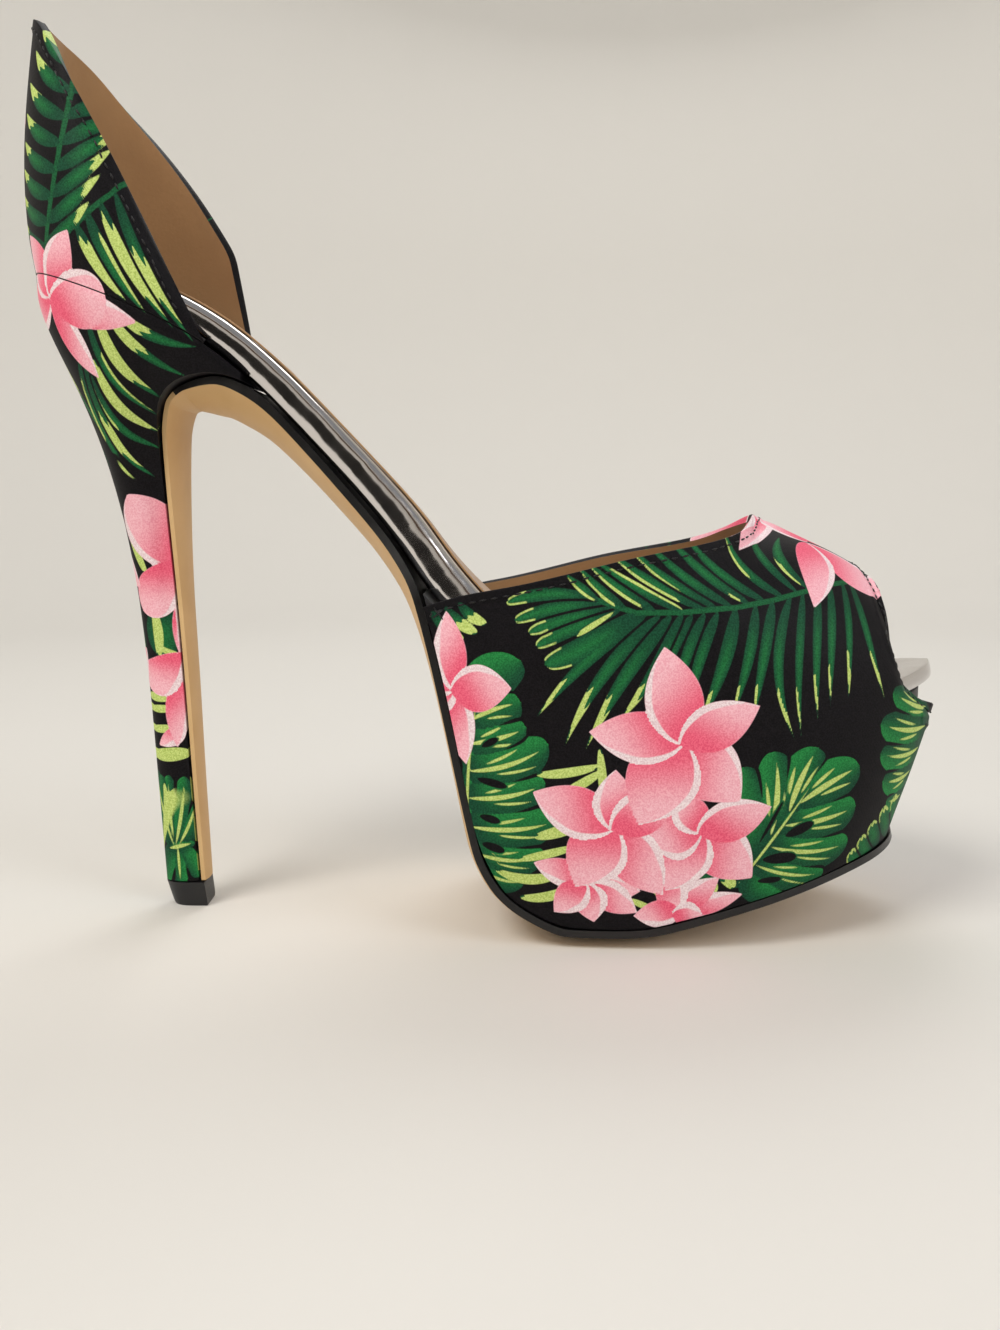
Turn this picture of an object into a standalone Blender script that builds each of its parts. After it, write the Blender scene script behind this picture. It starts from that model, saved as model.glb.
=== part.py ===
"""Peep-toe platform pump for the right foot: covered platform, cut-away sides, stiletto heel."""

import math
from collections import namedtuple

import bmesh
import bpy
import numpy as np

# Driving sizes in millimetres, +X to the toe, -Y to the outer side, origin under the ball on the floor
MM = 0.001
MERGE_DISTANCE = 0.004
SHARP_ANGLE = math.radians(40)
FIT_GAP = 0.3
ARCH_GAP = 0.5
PEEP_GAP = 1.2
PLATFORM_NOSE = 15.0
VAMP_WALL = 1.8
COUNTER_WALL = 2.2
SOLE_EDGE = 1.7
BREAST_FLAP = 1.0
SOCK_THICKNESS = 0.5
SOCK_GAP = 0.1
TREAD_LIFT = 2.6
TOP_PIECE_HEIGHT = 6.0
STATION_TURN = math.radians(6)
STATION_LENGTH = 16.0
LEAST_HALF = 0.8
TIP_SLACK = 0.02

# Plan of the forefoot: half width at the ball, where the toe rounds off, and how far its tip swings inwards
BALL_X = 20.0
BALL_HALF = 39.0
TOE_TIP_X = 82.0
TOE_POWER = 2.2
SOLE_TIP_X = 73.2
SOLE_BALL_HALF = 36.4
INSOLE_TIP_X = 83.0
INSOLE_BALL_HALF = 35.4
INSOLE_INNER_HALF = 34.0
INSOLE_TOE_POWER = 1.75
TOE_SWING = 3.5
MEDIAL_FOREFOOT = 0.965
MEDIAL_DROP = 1.6

# Plan of the heel seat
SEAT_WIDE_X = -104.0
SEAT_HALF = 26.0
SEAT_BACK_X = -130.0
SEAT_POWER = 2.1

# Half width of the forefoot behind the ball, as a share of the ball's half width
Waist = namedtuple("Waist", "x share")
WAIST_ROWS = (
    Waist(-42, 0.755),
    Waist(-30, 0.845),
    Waist(-15, 0.925),
    Waist(0, 0.975),
    Waist(BALL_X, 1.0),
)

# Half width of the heel seat in front of its widest place
Seat = namedtuple("Seat", "x half")
SEAT_ROWS = (
    Seat(SEAT_WIDE_X, SEAT_HALF),
    Seat(-96, 24.9),
    Seat(-88, 22.8),
    Seat(-79, 19.8),
)

# Lower edge of the sole from the toe, round the platform, under the arch and down the heel breast
Sole = namedtuple("Sole", "x z half medial crown flat thick")
SOLE_ROWS = (
    Sole(SOLE_TIP_X, 18.6, None, None, 0.8, 0.62, SOLE_EDGE),
    Sole(60, 16.2, None, None, 1.4, 0.62, SOLE_EDGE),
    Sole(48, 13.1, None, None, 1.9, 0.62, SOLE_EDGE),
    Sole(34, 9.3, None, None, 2.3, 0.62, SOLE_EDGE),
    Sole(BALL_X, 5.6, None, None, TREAD_LIFT, 0.62, SOLE_EDGE),
    Sole(7, TREAD_LIFT, None, None, TREAD_LIFT, 0.62, SOLE_EDGE),
    Sole(-7, TREAD_LIFT, None, None, TREAD_LIFT, 0.62, SOLE_EDGE),
    Sole(-17.8, 6.5, None, None, 2.3, 0.6, SOLE_EDGE),
    Sole(-25, 12.6, None, None, 2.0, 0.6, SOLE_EDGE),
    Sole(-29.6, 22, None, None, 1.6, 0.55, SOLE_EDGE),
    Sole(-33.6, 41, None, None, 1.2, 0.5, SOLE_EDGE),
    Sole(-38.4, 63.5, None, None, 1.6, 0.3, SOLE_EDGE),
    Sole(-41.6, 75.6, 28.0, 26.4, 3.2, 0.1, SOLE_EDGE),
    Sole(-44.2, 82.3, 26.0, 24.0, 4.4, 0, SOLE_EDGE),
    Sole(-52, 93.3, 21.8, 19.4, 4.6, 0, SOLE_EDGE),
    Sole(-64, 106.9, 19.2, 17.0, 4.8, 0, SOLE_EDGE),
    Sole(-72, 115.6, 18.8, 17.2, 5.6, 0, SOLE_EDGE),
    Sole(-79.6, 121.9, 18.8, 18.0, 6.8, 0, 2.2),
    Sole(-87.6, 124.9, 16.6, 16.2, 6.8, 0, 1.8),
    Sole(-94.4, 123.8, 14.2, 14.2, 4.4, 0, 1.3),
    Sole(-98.3, 120.4, 12.8, 12.8, 2.6, 0, BREAST_FLAP),
    Sole(-99.4, 113, 11.8, 11.8, 1.8, 0, BREAST_FLAP),
    Sole(-99.3, 99, 9.4, 9.4, 1.4, 0, BREAST_FLAP),
    Sole(-98.6, 80, 6.5, 6.5, 1.0, 0, BREAST_FLAP),
    Sole(-97.4, 55, 5.5, 5.5, 0.8, 0, BREAST_FLAP),
    Sole(-96.5, 30, 4.7, 4.7, 0.7, 0, BREAST_FLAP),
    Sole(-95.4, TOP_PIECE_HEIGHT + 0.5, 3.9, 3.9, 0.6, 0, BREAST_FLAP),
)
BACK_FOOT_ROW = 7
TREAD_END_ROW = 9
ARCH_ROW = 12
BACK_TOP_ROW = 13
HEEL_FRONT_ROW = 17
SOLE_SHARES = np.array([-1, -0.88, -0.62, -0.25, 0.25, 0.62, 0.88, 1])
SOLE_TOE_STEPS = (0.02, 0.08, 0.2, 0.4, 0.68)
CROWN_LIMIT = 0.6

# Underside of the insole board from the toe to the back of the seat; where z is None it lies on the sole.
# Thick is its outer edge; under the arch the top sinks from there to the inner edge.
Board = namedtuple("Board", "x z thick half medial sink", defaults=(0.0,))
BOARD_TABLE = (
    Board(INSOLE_TIP_X, 57.0, 3.6, None, None),
    Board(70, 54.2, 4.0, None, None),
    Board(55, 51.6, 4.2, None, None),
    Board(38, 49.4, 4.2, None, None),
    Board(BALL_X, 48.6, 4.4, INSOLE_BALL_HALF, INSOLE_INNER_HALF),
    Board(6, 49.8, 5.0, 34.2, 32.8),
    Board(-6, 53.2, 6.2, 32.8, 31.4),
    Board(-16, 58.6, 7.6, 31.2, 29.8, 0.5),
    Board(-26, 65.4, 8.6, 29.2, 27.8, 1.0),
    Board(-34, 72.6, 9.2, 27.2, 25.8, 1.6),
    Board(-41.4, None, 9.0, 24.8, 22.8, 1.9),
    Board(-46, None, 8.6, 23.2, 20.8, 2.0),
    Board(-52, None, 8.2, 21.6, 19.2, 1.9),
    Board(-60, None, 7.8, 20.0, 17.6, 1.8),
    Board(-71, None, 7.5, 19.4, 17.6, 1.7),
    Board(-79, 126.0, 7.2, 19.4, 18.4, 1.3),
    Board(-88, 133.6, 7.0, 20.0, 19.8, 0.7),
    Board(-97, 138.6, 6.8, None, None),
    Board(-108, 143.2, 6.6, None, None),
    Board(-118, 146.9, 6.4, None, None),
    Board(-127.3, 150.0, 6.0, None, None),
)
BOARD_TOE_STEPS = (0.03, 0.12, 0.3, 0.6)
BOARD_BACK_STEPS = (0.3, 0.58, 0.8, 0.93, 0.985)
BOARD_EDGE_SHARE = 0.42
BOARD_EDGE_POWER = 0.8
BOARD_EDGE_POINTS = 7
BOARD_FLAT_SHARES = np.array([0.25, 0.5, 0.75])
SEAT_INSET = COUNTER_WALL + 2 * FIT_GAP

# Sock lining: set in from the board's edge, rounded at the front in two steps
SOCK_INSET = 4.6
SOCK_FRONT_X = 34.0
SOCK_LEAST_HALF = 3.0
SOCK_FRONT_TAPER = (0.62, 0.88)
SOCK_EDGE = 0.4

# Vamp sections from the back corner to the toe: foot on the sole, widest line, top edge or ridge
Vamp = namedtuple("Vamp", "foot_x side_x side_z top_x top_in top_z top_angle")
VAMP_ROWS = (
    Vamp(-24.6, -34.0, 52.0, -39.2, 0.955, 75.8, 82),
    Vamp(-20.0, -27.5, 53.0, -31.0, 0.95, 78.4, 80),
    Vamp(-13.0, -18.0, 54.0, -20.0, 0.94, 80.4, 77),
    Vamp(-4.0, -7.0, 54.6, -8.0, 0.92, 83.2, 73),
    Vamp(7.0, 5.5, 54.8, 5.0, 0.88, 86.4, 66),
    Vamp(18.0, 17.5, 54.5, 17.0, 0.80, 88.6, 58),
    Vamp(28.0, 28.5, 54.0, 27.0, 0.66, 90.6, 47),
    Vamp(34.5, 36.5, 53.5, 34.2, 0.42, 93.2, 30),
    Vamp(38.5, 42.0, 53.0, 38.2, 0.0, 96.0, 0),
    Vamp(43.0, 47.5, 52.5, 45.5, 0.0, 92.6, 0),
    Vamp(47.3, 53.0, 52.0, 53.0, 0.0, 89.2, 0),
    Vamp(51.0, 57.6, 51.5, 59.5, 0.0, 86.0, 0),
    Vamp(54.2, 61.4, 51.0, 64.0, 0.0, 82.9, 0),
    Vamp(57.5, 65.2, 50.7, 63.2, 0.5, 78.0, 38),
    Vamp(60.7, 68.7, 50.3, 63.6, 0.84, 67.6, 66),
    Vamp(64.0, 72.2, 49.6, 67.4, 0.96, 58.9, 76),
    Vamp(67.4, 75.8, 48.6, 72.8, 1.0, 54.1, 82),
    Vamp(70.6, 79.2, 47.2, 78.4, 1.0, 50.0, 86),
    Vamp(72.6, TOE_TIP_X, 45.2, TOE_TIP_X + 0.2, 1.0, 47.4, 88),
)
THROAT_ROW = 8
PEEP_ROW = 12
VAMP_STEPS = 2
FOOT_LEVELS = 5
ROOF_LEVELS = 8
BACK_EDGE_ROWS = 4
FAIRING_ROUNDS = 6
FAIRING_PULL = 0.5
VAMP_HANDLE = 0.41
VAMP_BELLY = 1.2
VAMP_BELLY_LEAST = 8.0
VAMP_FOOT_INSET = 0.5
VAMP_TIP_INSET = 0.6
VAMP_CENTRE = (0, 0, 40)

# Platform block: points up its side and across its faces, and its gap under the sloping board
PLATFORM_LEVELS = 8
PLATFORM_ACROSS = (0.25, 0.5, 0.75)
PLATFORM_TOP_GAP = 0.48

# Counter sections from the front edge round to the back: foot on the seat, top edge, each side's own front
Counter = namedtuple("Counter", "foot_x top_x top_z top_in inner_foot_x inner_top_x inner_top_z")
COUNTER_ROWS = (
    Counter(-87.6, -98.6, 156.0, 0.985, -84.8, -89.4, 160.0),
    Counter(-95.0, -105.6, 171.0, 0.95, -93.0, -97.6, 173.0),
    Counter(-104.0, -112.4, 184.0, 0.90, -103.0, -106.8, 185.0),
    Counter(-113.5, -118.4, 194.5, 0.86, -113.0, -115.6, 194.5),
    Counter(-122.0, -123.2, 201.5, 0.82, -121.8, -122.2, 201.5),
    Counter(-127.6, -126.4, 204.6, 0.80, -127.6, -126.2, 204.6),
    Counter(SEAT_BACK_X, -127.6, 205.4, 1.0, SEAT_BACK_X, -127.6, 205.4),
)
COUNTER_STEPS = 3
COUNTER_LEVELS = 8
COUNTER_BULGE = 2.4
COUNTER_BULGE_POWER = 0.8
COUNTER_BULGE_HEIGHT = 50.0
COUNTER_BACK_TURN = 0.8
COUNTER_CENTRE = (-95, 0, 175)

# Heel sections from the tip to the seat: place on the breast, back line, half width, share of the seat's plan
Heel = namedtuple("Heel", "breast back_x back_z half seat bow")
HEEL_ROWS = (
    Heel(0.0, -105.7, TOP_PIECE_HEIGHT + 0.3, 4.4, 0, 0),
    Heel(0.16, -106.9, 30, 5.3, 0, 0),
    Heel(0.33, -108.1, 54, 6.1, 0, 0),
    Heel(0.50, -110.2, 79, 7.4, 0, 0),
    Heel(0.63, -113.6, 99.5, 10.6, 0, 0),
    Heel(0.72, -117.4, 114, 13.8, 0.1, 0),
    Heel(0.785, -120.8, 124.4, 17.4, 0.3, 0.1),
    Heel(0.835, -124.0, 132.8, 20.6, 0.6, 0.3),
    Heel(0.89, -126.9, 139.8, 23.0, 0.82, 0.55),
    Heel(0.945, -128.8, 144.8, 24.8, 0.95, 0.8),
    Heel(1.0, SEAT_BACK_X, 148.6, SEAT_HALF, 1, 1),
)
HEEL_STEPS = 2
HEEL_SIDE_POINTS = 13
HEEL_FRONT_X = -81.8
HEEL_ROUND_START = 0.4
HEEL_ROUND_POWER = 2.2
FLAP_COVER = 0.4
BREAST_POINTS = 160

# Heel tip sections from the floor up
Tip = namedtuple("Tip", "z front_x back_x half")
TIP_ROWS = (
    Tip(0, -95.1, -103.8, 4.0),
    Tip(0.6, -94.9, -104.2, 4.3),
    Tip(TOP_PIECE_HEIGHT, -95.6, -105.8, 4.6),
)
TIP_SIDE_POINTS = 9

SATIN = ("printed_satin", (0.012, 0.010, 0.014, 1), 0.45, 0.0)
SILVER = ("silver_foil", (0.60, 0.58, 0.57, 1), 0.12, 1.0)
BEIGE = ("beige_sole", (0.60, 0.39, 0.17, 1), 0.55, 0.0)
BLACK_COVER = ("black_cover", (0.006, 0.006, 0.007, 1), 0.5, 0.0)
TAN = ("tan_lining", (0.25, 0.12, 0.04, 1), 0.7, 0.0)
BLACK_PLASTIC = ("black_plastic", (0.010, 0.010, 0.011, 1), 0.35, 0.0)


def smooth(knots, values, at):
    """A curve through the values, level where they turn, read at the given places."""
    knots = np.asarray(knots, float)
    values = np.asarray(values, float)
    step = np.diff(knots)
    rise = np.diff(values) / step
    slope = np.zeros(len(knots))
    slope[0] = rise[0]
    slope[-1] = rise[-1]
    for k in range(1, len(step)):
        if rise[k - 1] * rise[k] > 0:
            slope[k] = 2 * rise[k - 1] * rise[k] / (rise[k - 1] + rise[k])
    at = np.clip(at, knots[0], knots[-1])
    k = np.clip(np.searchsorted(knots, at, side="right") - 1, 0, len(step) - 1)
    t = (at - knots[k]) / step[k]
    ease = t * t * (3 - 2 * t)
    leave = slope[k] * step[k] * t * (1 - t) ** 2
    arrive = slope[k + 1] * step[k] * t * t * (1 - t)
    return values[k] + (values[k + 1] - values[k]) * ease + leave - arrive


def column(rows, name):
    return [getattr(row, name) for row in rows]


def round_off(x, wide_x, tip_x, power):
    """How much of the half width is left between the widest place and the tip."""
    reach = min(max((x - wide_x) / (tip_x - wide_x), 0), 1)
    return (1 - reach**power) ** (1 / power)


def swing(x):
    """Sideways shift of the toe towards the inner side of the foot."""
    return TOE_SWING * max(0.0, (x - BALL_X) / (TOE_TIP_X - BALL_X)) ** 2


def forefoot_half(x, ball_half, tip_x, power=TOE_POWER):
    if x > BALL_X:
        return ball_half * round_off(x, BALL_X, tip_x, power)
    return ball_half * float(smooth(column(WAIST_ROWS, "x"), column(WAIST_ROWS, "share"), x))


def seat_half(x):
    if x < SEAT_WIDE_X:
        return SEAT_HALF * round_off(x, SEAT_WIDE_X, SEAT_BACK_X, SEAT_POWER)
    return float(smooth(column(SEAT_ROWS, "x"), column(SEAT_ROWS, "half"), x))


def along(rows):
    """Distance along the rows' own line in the side view, one value for each row."""
    points = np.array([(row.x, row.z) for row in rows], float)
    return np.concatenate([[0], np.cumsum(np.hypot(*np.diff(points, axis=0).T))])


def side_line(rows, at):
    """Points of the rows' line in the side view and the directions square to it, up into the shoe."""
    knots = along(rows)
    ahead = 0.05

    def point(s):
        x = smooth(knots, column(rows, "x"), s)
        z = smooth(knots, column(rows, "z"), s)
        return np.stack([x, z], axis=-1)

    run = point(at + ahead) - point(at - ahead)
    run /= np.linalg.norm(run, axis=-1, keepdims=True)
    square = np.stack([run[..., 1], -run[..., 0]], axis=-1)
    return point(at), square


def stations(rows, end_steps=()):
    """Places along the rows: more where the line turns, and closer ones where the toe rounds off."""
    knots = along(rows)
    _, square = side_line(rows, np.clip(knots, 0.1, knots[-1] - 0.1))
    places = [0.0] + [knots[1] * share for share in end_steps]
    for k in range(len(rows) - 1):
        turn = math.acos(min(1.0, float(square[k] @ square[k + 1])))
        length = knots[k + 1] - knots[k]
        count = max(1, round(turn / STATION_TURN), round(length / STATION_LENGTH))
        if k == 0:
            count = 1
        places += [knots[k] + length * (n + 1) / count for n in range(count)]
    return np.array(places)


def finish_object(name, shape, finish):
    """Turns a bmesh in millimetres into a named object with its own material."""
    bmesh.ops.remove_doubles(shape, verts=shape.verts, dist=MERGE_DISTANCE)
    bmesh.ops.dissolve_degenerate(shape, edges=shape.edges, dist=MERGE_DISTANCE / 4)
    bmesh.ops.recalc_face_normals(shape, faces=shape.faces)
    bmesh.ops.scale(shape, vec=(MM, MM, MM), verts=shape.verts)
    mesh = bpy.data.meshes.new(name)
    shape.to_mesh(mesh)
    shape.free()
    mesh.shade_smooth()
    mesh.set_sharp_from_angle(angle=SHARP_ANGLE)
    piece = bpy.data.objects.new(name, mesh)
    bpy.context.scene.collection.objects.link(piece)
    label, colour, roughness, metallic = finish
    material = bpy.data.materials.new(name + "_" + label)
    material.use_nodes = True
    shader = material.node_tree.nodes["Principled BSDF"]
    shader.inputs["Base Color"].default_value = colour
    shader.inputs["Roughness"].default_value = roughness
    shader.inputs["Metallic"].default_value = metallic
    mesh.materials.append(material)
    return piece


def loft(name, rings, finish, pointed=False):
    """A closed solid through rings with the same number of points each, the last one a line if pointed."""
    shape = bmesh.new()
    loops = [[shape.verts.new(point) for point in ring] for ring in rings]
    count = len(loops[0])
    for first, second in zip(loops, loops[1:]):
        for a in range(count):
            b = (a + 1) % count
            shape.faces.new((first[a], first[b], second[b], second[a]))
    shape.faces.new(loops[0])
    if not pointed:
        shape.faces.new(loops[-1])
    return finish_object(name, shape, finish)


def shell(name, outer, inner, welded, finish):
    """A hollow wall between two grids of points; columns marked as welded share their last point."""
    shape = bmesh.new()
    skins = [[[shape.verts.new(point) for point in line] for line in grid] for grid in (outer, inner)]
    columns = len(outer)
    levels = len(outer[0])
    for skin in skins:
        for a in range(columns - 1):
            for k in range(levels - 1):
                shape.faces.new((skin[a][k], skin[a + 1][k], skin[a + 1][k + 1], skin[a][k + 1]))
    out, into = skins
    for a in range(columns - 1):
        shape.faces.new((out[a][0], out[a + 1][0], into[a + 1][0], into[a][0]))
        if not (welded[a] and welded[a + 1]):
            shape.faces.new((out[a][-1], out[a + 1][-1], into[a + 1][-1], into[a][-1]))
    for k in range(levels - 1):
        for a in (0, columns - 1):
            shape.faces.new((out[a][k], out[a][k + 1], into[a][k + 1], into[a][k]))
    return finish_object(name, shape, finish)


def grid_normals(grid, centre):
    """Unit directions square to a grid of points, away from a line above the given centre."""
    around = np.gradient(grid, axis=0)
    upward = np.gradient(grid, axis=1)
    normals = np.cross(around, upward)
    normals /= np.linalg.norm(normals, axis=2, keepdims=True)
    outward = grid - np.asarray(centre, float)
    flip = np.sign(np.sum(normals * outward, axis=(1, 2)))
    return normals * flip[:, None, None]


def bezier(start, start_handle, end_handle, end, count):
    """Points of a cubic from start to end, the start left out."""
    t = np.linspace(0, 1, count + 1)[1:, None]
    u = 1 - t
    return u**3 * start + 3 * u * u * t * start_handle + 3 * u * t * t * end_handle + t**3 * end


def between_rows(rows, steps):
    """Every column of the rows with extra rows between, as one named tuple of arrays."""
    knots = np.arange(len(rows))
    at = np.linspace(0, len(rows) - 1, (len(rows) - 1) * steps + 1)
    return type(rows[0])(*(smooth(knots, column(rows, name), at) for name in rows[0]._fields))


def sole_half(row_value, x, side):
    """Half width of the sole: the row's own, or the forefoot's outline where the row has none."""
    if not math.isnan(row_value):
        return row_value
    half = forefoot_half(x, SOLE_BALL_HALF, SOLE_TIP_X + TIP_SLACK)
    return max(half * (1 if side < 0 else MEDIAL_FOREFOOT), LEAST_HALF)


def filled(rows, name, at):
    """A column with gaps: read smoothly between its numbers, and not a number where it has none."""
    knots = along(rows)
    known = [(k, value) for k, value in zip(knots, column(rows, name)) if value is not None]
    places = np.array([k for k, _ in known])
    values = smooth(places, [value for _, value in known], at)
    values[(at < places[0] - 1e-6) | (at > places[-1] + 1e-6)] = math.nan
    return values


def outsole():
    """Sole strip: flat tread, crowned belly under the arch, thin flap down the heel breast."""
    knots = along(SOLE_ROWS)
    at = stations(SOLE_ROWS, SOLE_TOE_STEPS)
    points, square = side_line(SOLE_ROWS, at)
    lateral = filled(SOLE_ROWS, "half", at)
    medial = filled(SOLE_ROWS, "medial", at)
    crown = smooth(knots, column(SOLE_ROWS, "crown"), at)
    flat = smooth(knots, column(SOLE_ROWS, "flat"), at)
    thick = smooth(knots, column(SOLE_ROWS, "thick"), at)
    rings = []
    for k in range(len(at)):
        x, z = points[k]
        halves = [sole_half(lateral[k], x, -1), sole_half(medial[k], x, 1)]
        shift = swing(x) if math.isnan(lateral[k]) else 0.0
        past = np.clip((np.abs(SOLE_SHARES) - flat[k]) / (1 - flat[k]), 0, 1)
        crown_here = min(crown[k], min(halves) * CROWN_LIMIT)
        drop = -crown_here * (1 - past**2)
        lower = list(zip(SOLE_SHARES, drop))
        upper = [(share, thick[k]) for share in SOLE_SHARES[::-1]]
        ring = []
        for share, depth in lower + upper:
            y = share * halves[0 if share < 0 else 1] + shift
            ring.append((x + square[k][0] * depth, y, z + square[k][1] * depth))
        rings.append(ring)
    return loft("outsole", rings, BEIGE)


def sole_top(place, lift):
    """Point in the side view above the sole's upper face at a place along the sole."""
    point, square = side_line(SOLE_ROWS, np.array([place]))
    thick = smooth(along(SOLE_ROWS), column(SOLE_ROWS, "thick"), np.array([place]))
    return point[0] + square[0] * (thick[0] + lift)


def board_rows():
    """The board's rows with the heights filled in where it lies on the sole under the arch."""
    knots = along(SOLE_ROWS)
    places = np.linspace(knots[ARCH_ROW], knots[HEEL_FRONT_ROW], BREAST_POINTS // 2)
    arch = np.array([sole_top(place, ARCH_GAP) for place in places])
    order = np.argsort(arch[:, 0])
    rows = []
    for row in BOARD_TABLE:
        if row.z is None:
            row = row._replace(z=float(np.interp(row.x, arch[order, 0], arch[order, 1])))
        rows.append(row)
    return tuple(rows)


BOARD_ROWS = board_rows()


def board_sections():
    """Sections of the insole board: places, directions, thickness, half widths and the sinking of the top."""
    knots = along(BOARD_ROWS)
    at = stations(BOARD_ROWS, BOARD_TOE_STEPS)
    straight = at[at < knots[-2] + TIP_SLACK]
    rounding = [knots[-2] + (knots[-1] - knots[-2]) * share for share in BOARD_BACK_STEPS]
    at = np.concatenate([straight, rounding])
    points, square = side_line(BOARD_ROWS, at)
    thick = smooth(knots, column(BOARD_ROWS, "thick"), at)
    sink = smooth(knots, column(BOARD_ROWS, "sink"), at)
    own = {-1: filled(BOARD_ROWS, "half", at), 1: filled(BOARD_ROWS, "medial", at)}
    halves = []
    for k, (x, z) in enumerate(points):
        pair = []
        for side in (-1, 1):
            half = own[side][k]
            if math.isnan(half) and x > 0:
                half = forefoot_half(x, INSOLE_BALL_HALF, INSOLE_TIP_X + TIP_SLACK, INSOLE_TOE_POWER)
                half *= 1 if side < 0 else INSOLE_INNER_HALF / INSOLE_BALL_HALF
            elif math.isnan(half) and x > SEAT_WIDE_X:
                half = seat_half(x) - SEAT_INSET
            elif math.isnan(half):
                left = round_off(x, SEAT_WIDE_X, SEAT_BACK_X + SEAT_INSET, SEAT_POWER)
                half = (SEAT_HALF - SEAT_INSET) * left
            pair.append(max(half, LEAST_HALF))
        halves.append(pair)
    return points, square, thick, halves, sink


def sinking(sink, thick, halves):
    """How far a place of the board's section lies lower, from nothing at the outer edge to sink at the inner one."""
    return lambda across, height: sink * (across + halves[0]) / sum(halves) * min(height / thick, 1)


def board_ring(x, z, square, low, high, halves, shift, edge, lower):
    """One closed section: flat faces between two heights, sides rounded as a full edge."""
    middle = (low + high) / 2
    rise = (high - low) / 2
    turn = np.linspace(-90, 90, BOARD_EDGE_POINTS)
    flat = [half - min(edge, half * 0.9) for half in halves]
    section = []
    for side, turns, level in ((1, turn, high), (-1, turn[::-1], low)):
        start, end = flat[max(side, 0)], flat[max(-side, 0)]
        roll = halves[max(side, 0)] - start
        for angle in np.radians(turns):
            across = start + roll * abs(math.cos(angle)) ** BOARD_EDGE_POWER
            height = middle + rise * math.copysign(abs(math.sin(angle)) ** BOARD_EDGE_POWER, angle)
            section.append((side * across, height))
        section += [(side * across, level) for across in start - (start + end) * BOARD_FLAT_SHARES]
    ring = []
    for across, height in section:
        height -= lower(across, height)
        ring.append((x + square[0] * height, across + shift, z + square[1] * height))
    return ring


def insole():
    """Board wrapped in foil, with a full rounded edge."""
    points, square, thick, halves, sink = board_sections()
    rings = []
    for k, (x, z) in enumerate(points):
        edge = thick[k] * BOARD_EDGE_SHARE
        lower = sinking(sink[k], thick[k], halves[k])
        rings.append(board_ring(x, z, square[k], 0, thick[k], halves[k], swing(x), edge, lower))
    return loft("insole", rings, SILVER)


def sock():
    """Thin lining on the board, from the back of the seat to the ball, set in from the board's edge."""
    points, square, thick, halves, sink = board_sections()
    wide = [min(pair) > SOCK_INSET + SOCK_LEAST_HALF for pair in halves]
    keep = [k for k in range(len(points)) if points[k][0] < SOCK_FRONT_X and wide[k]]
    rings = []
    for n, k in enumerate(keep):
        x, z = points[k]
        low = thick[k] + SOCK_GAP
        taper = SOCK_FRONT_TAPER[n] if n < len(SOCK_FRONT_TAPER) else 1
        narrow = [(half - SOCK_INSET) * taper for half in halves[k]]
        high = low + SOCK_THICKNESS
        lower = sinking(sink[k], thick[k], halves[k])
        rings.append(board_ring(x, z, square[k], low, high, narrow, swing(x), SOCK_EDGE, lower))
    return loft("sock", rings, TAN)


def sole_place(x):
    """Place along the tread, from toe to the start of the platform's back, under a given x."""
    tread = SOLE_ROWS[: TREAD_END_ROW + 1]
    return float(np.interp(-x, [-row.x for row in tread], along(tread)))


def back_edge_x(heights):
    """Front face of the sole where it climbs the platform's back, with the fitting gap."""
    knots = along(SOLE_ROWS)
    places = np.linspace(knots[BACK_FOOT_ROW], knots[BACK_TOP_ROW], 60)
    line = np.array([sole_top(place, FIT_GAP) for place in places])
    order = np.argsort(line[:, 1])
    return np.interp(heights, line[order, 1], line[order, 0])


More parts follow.
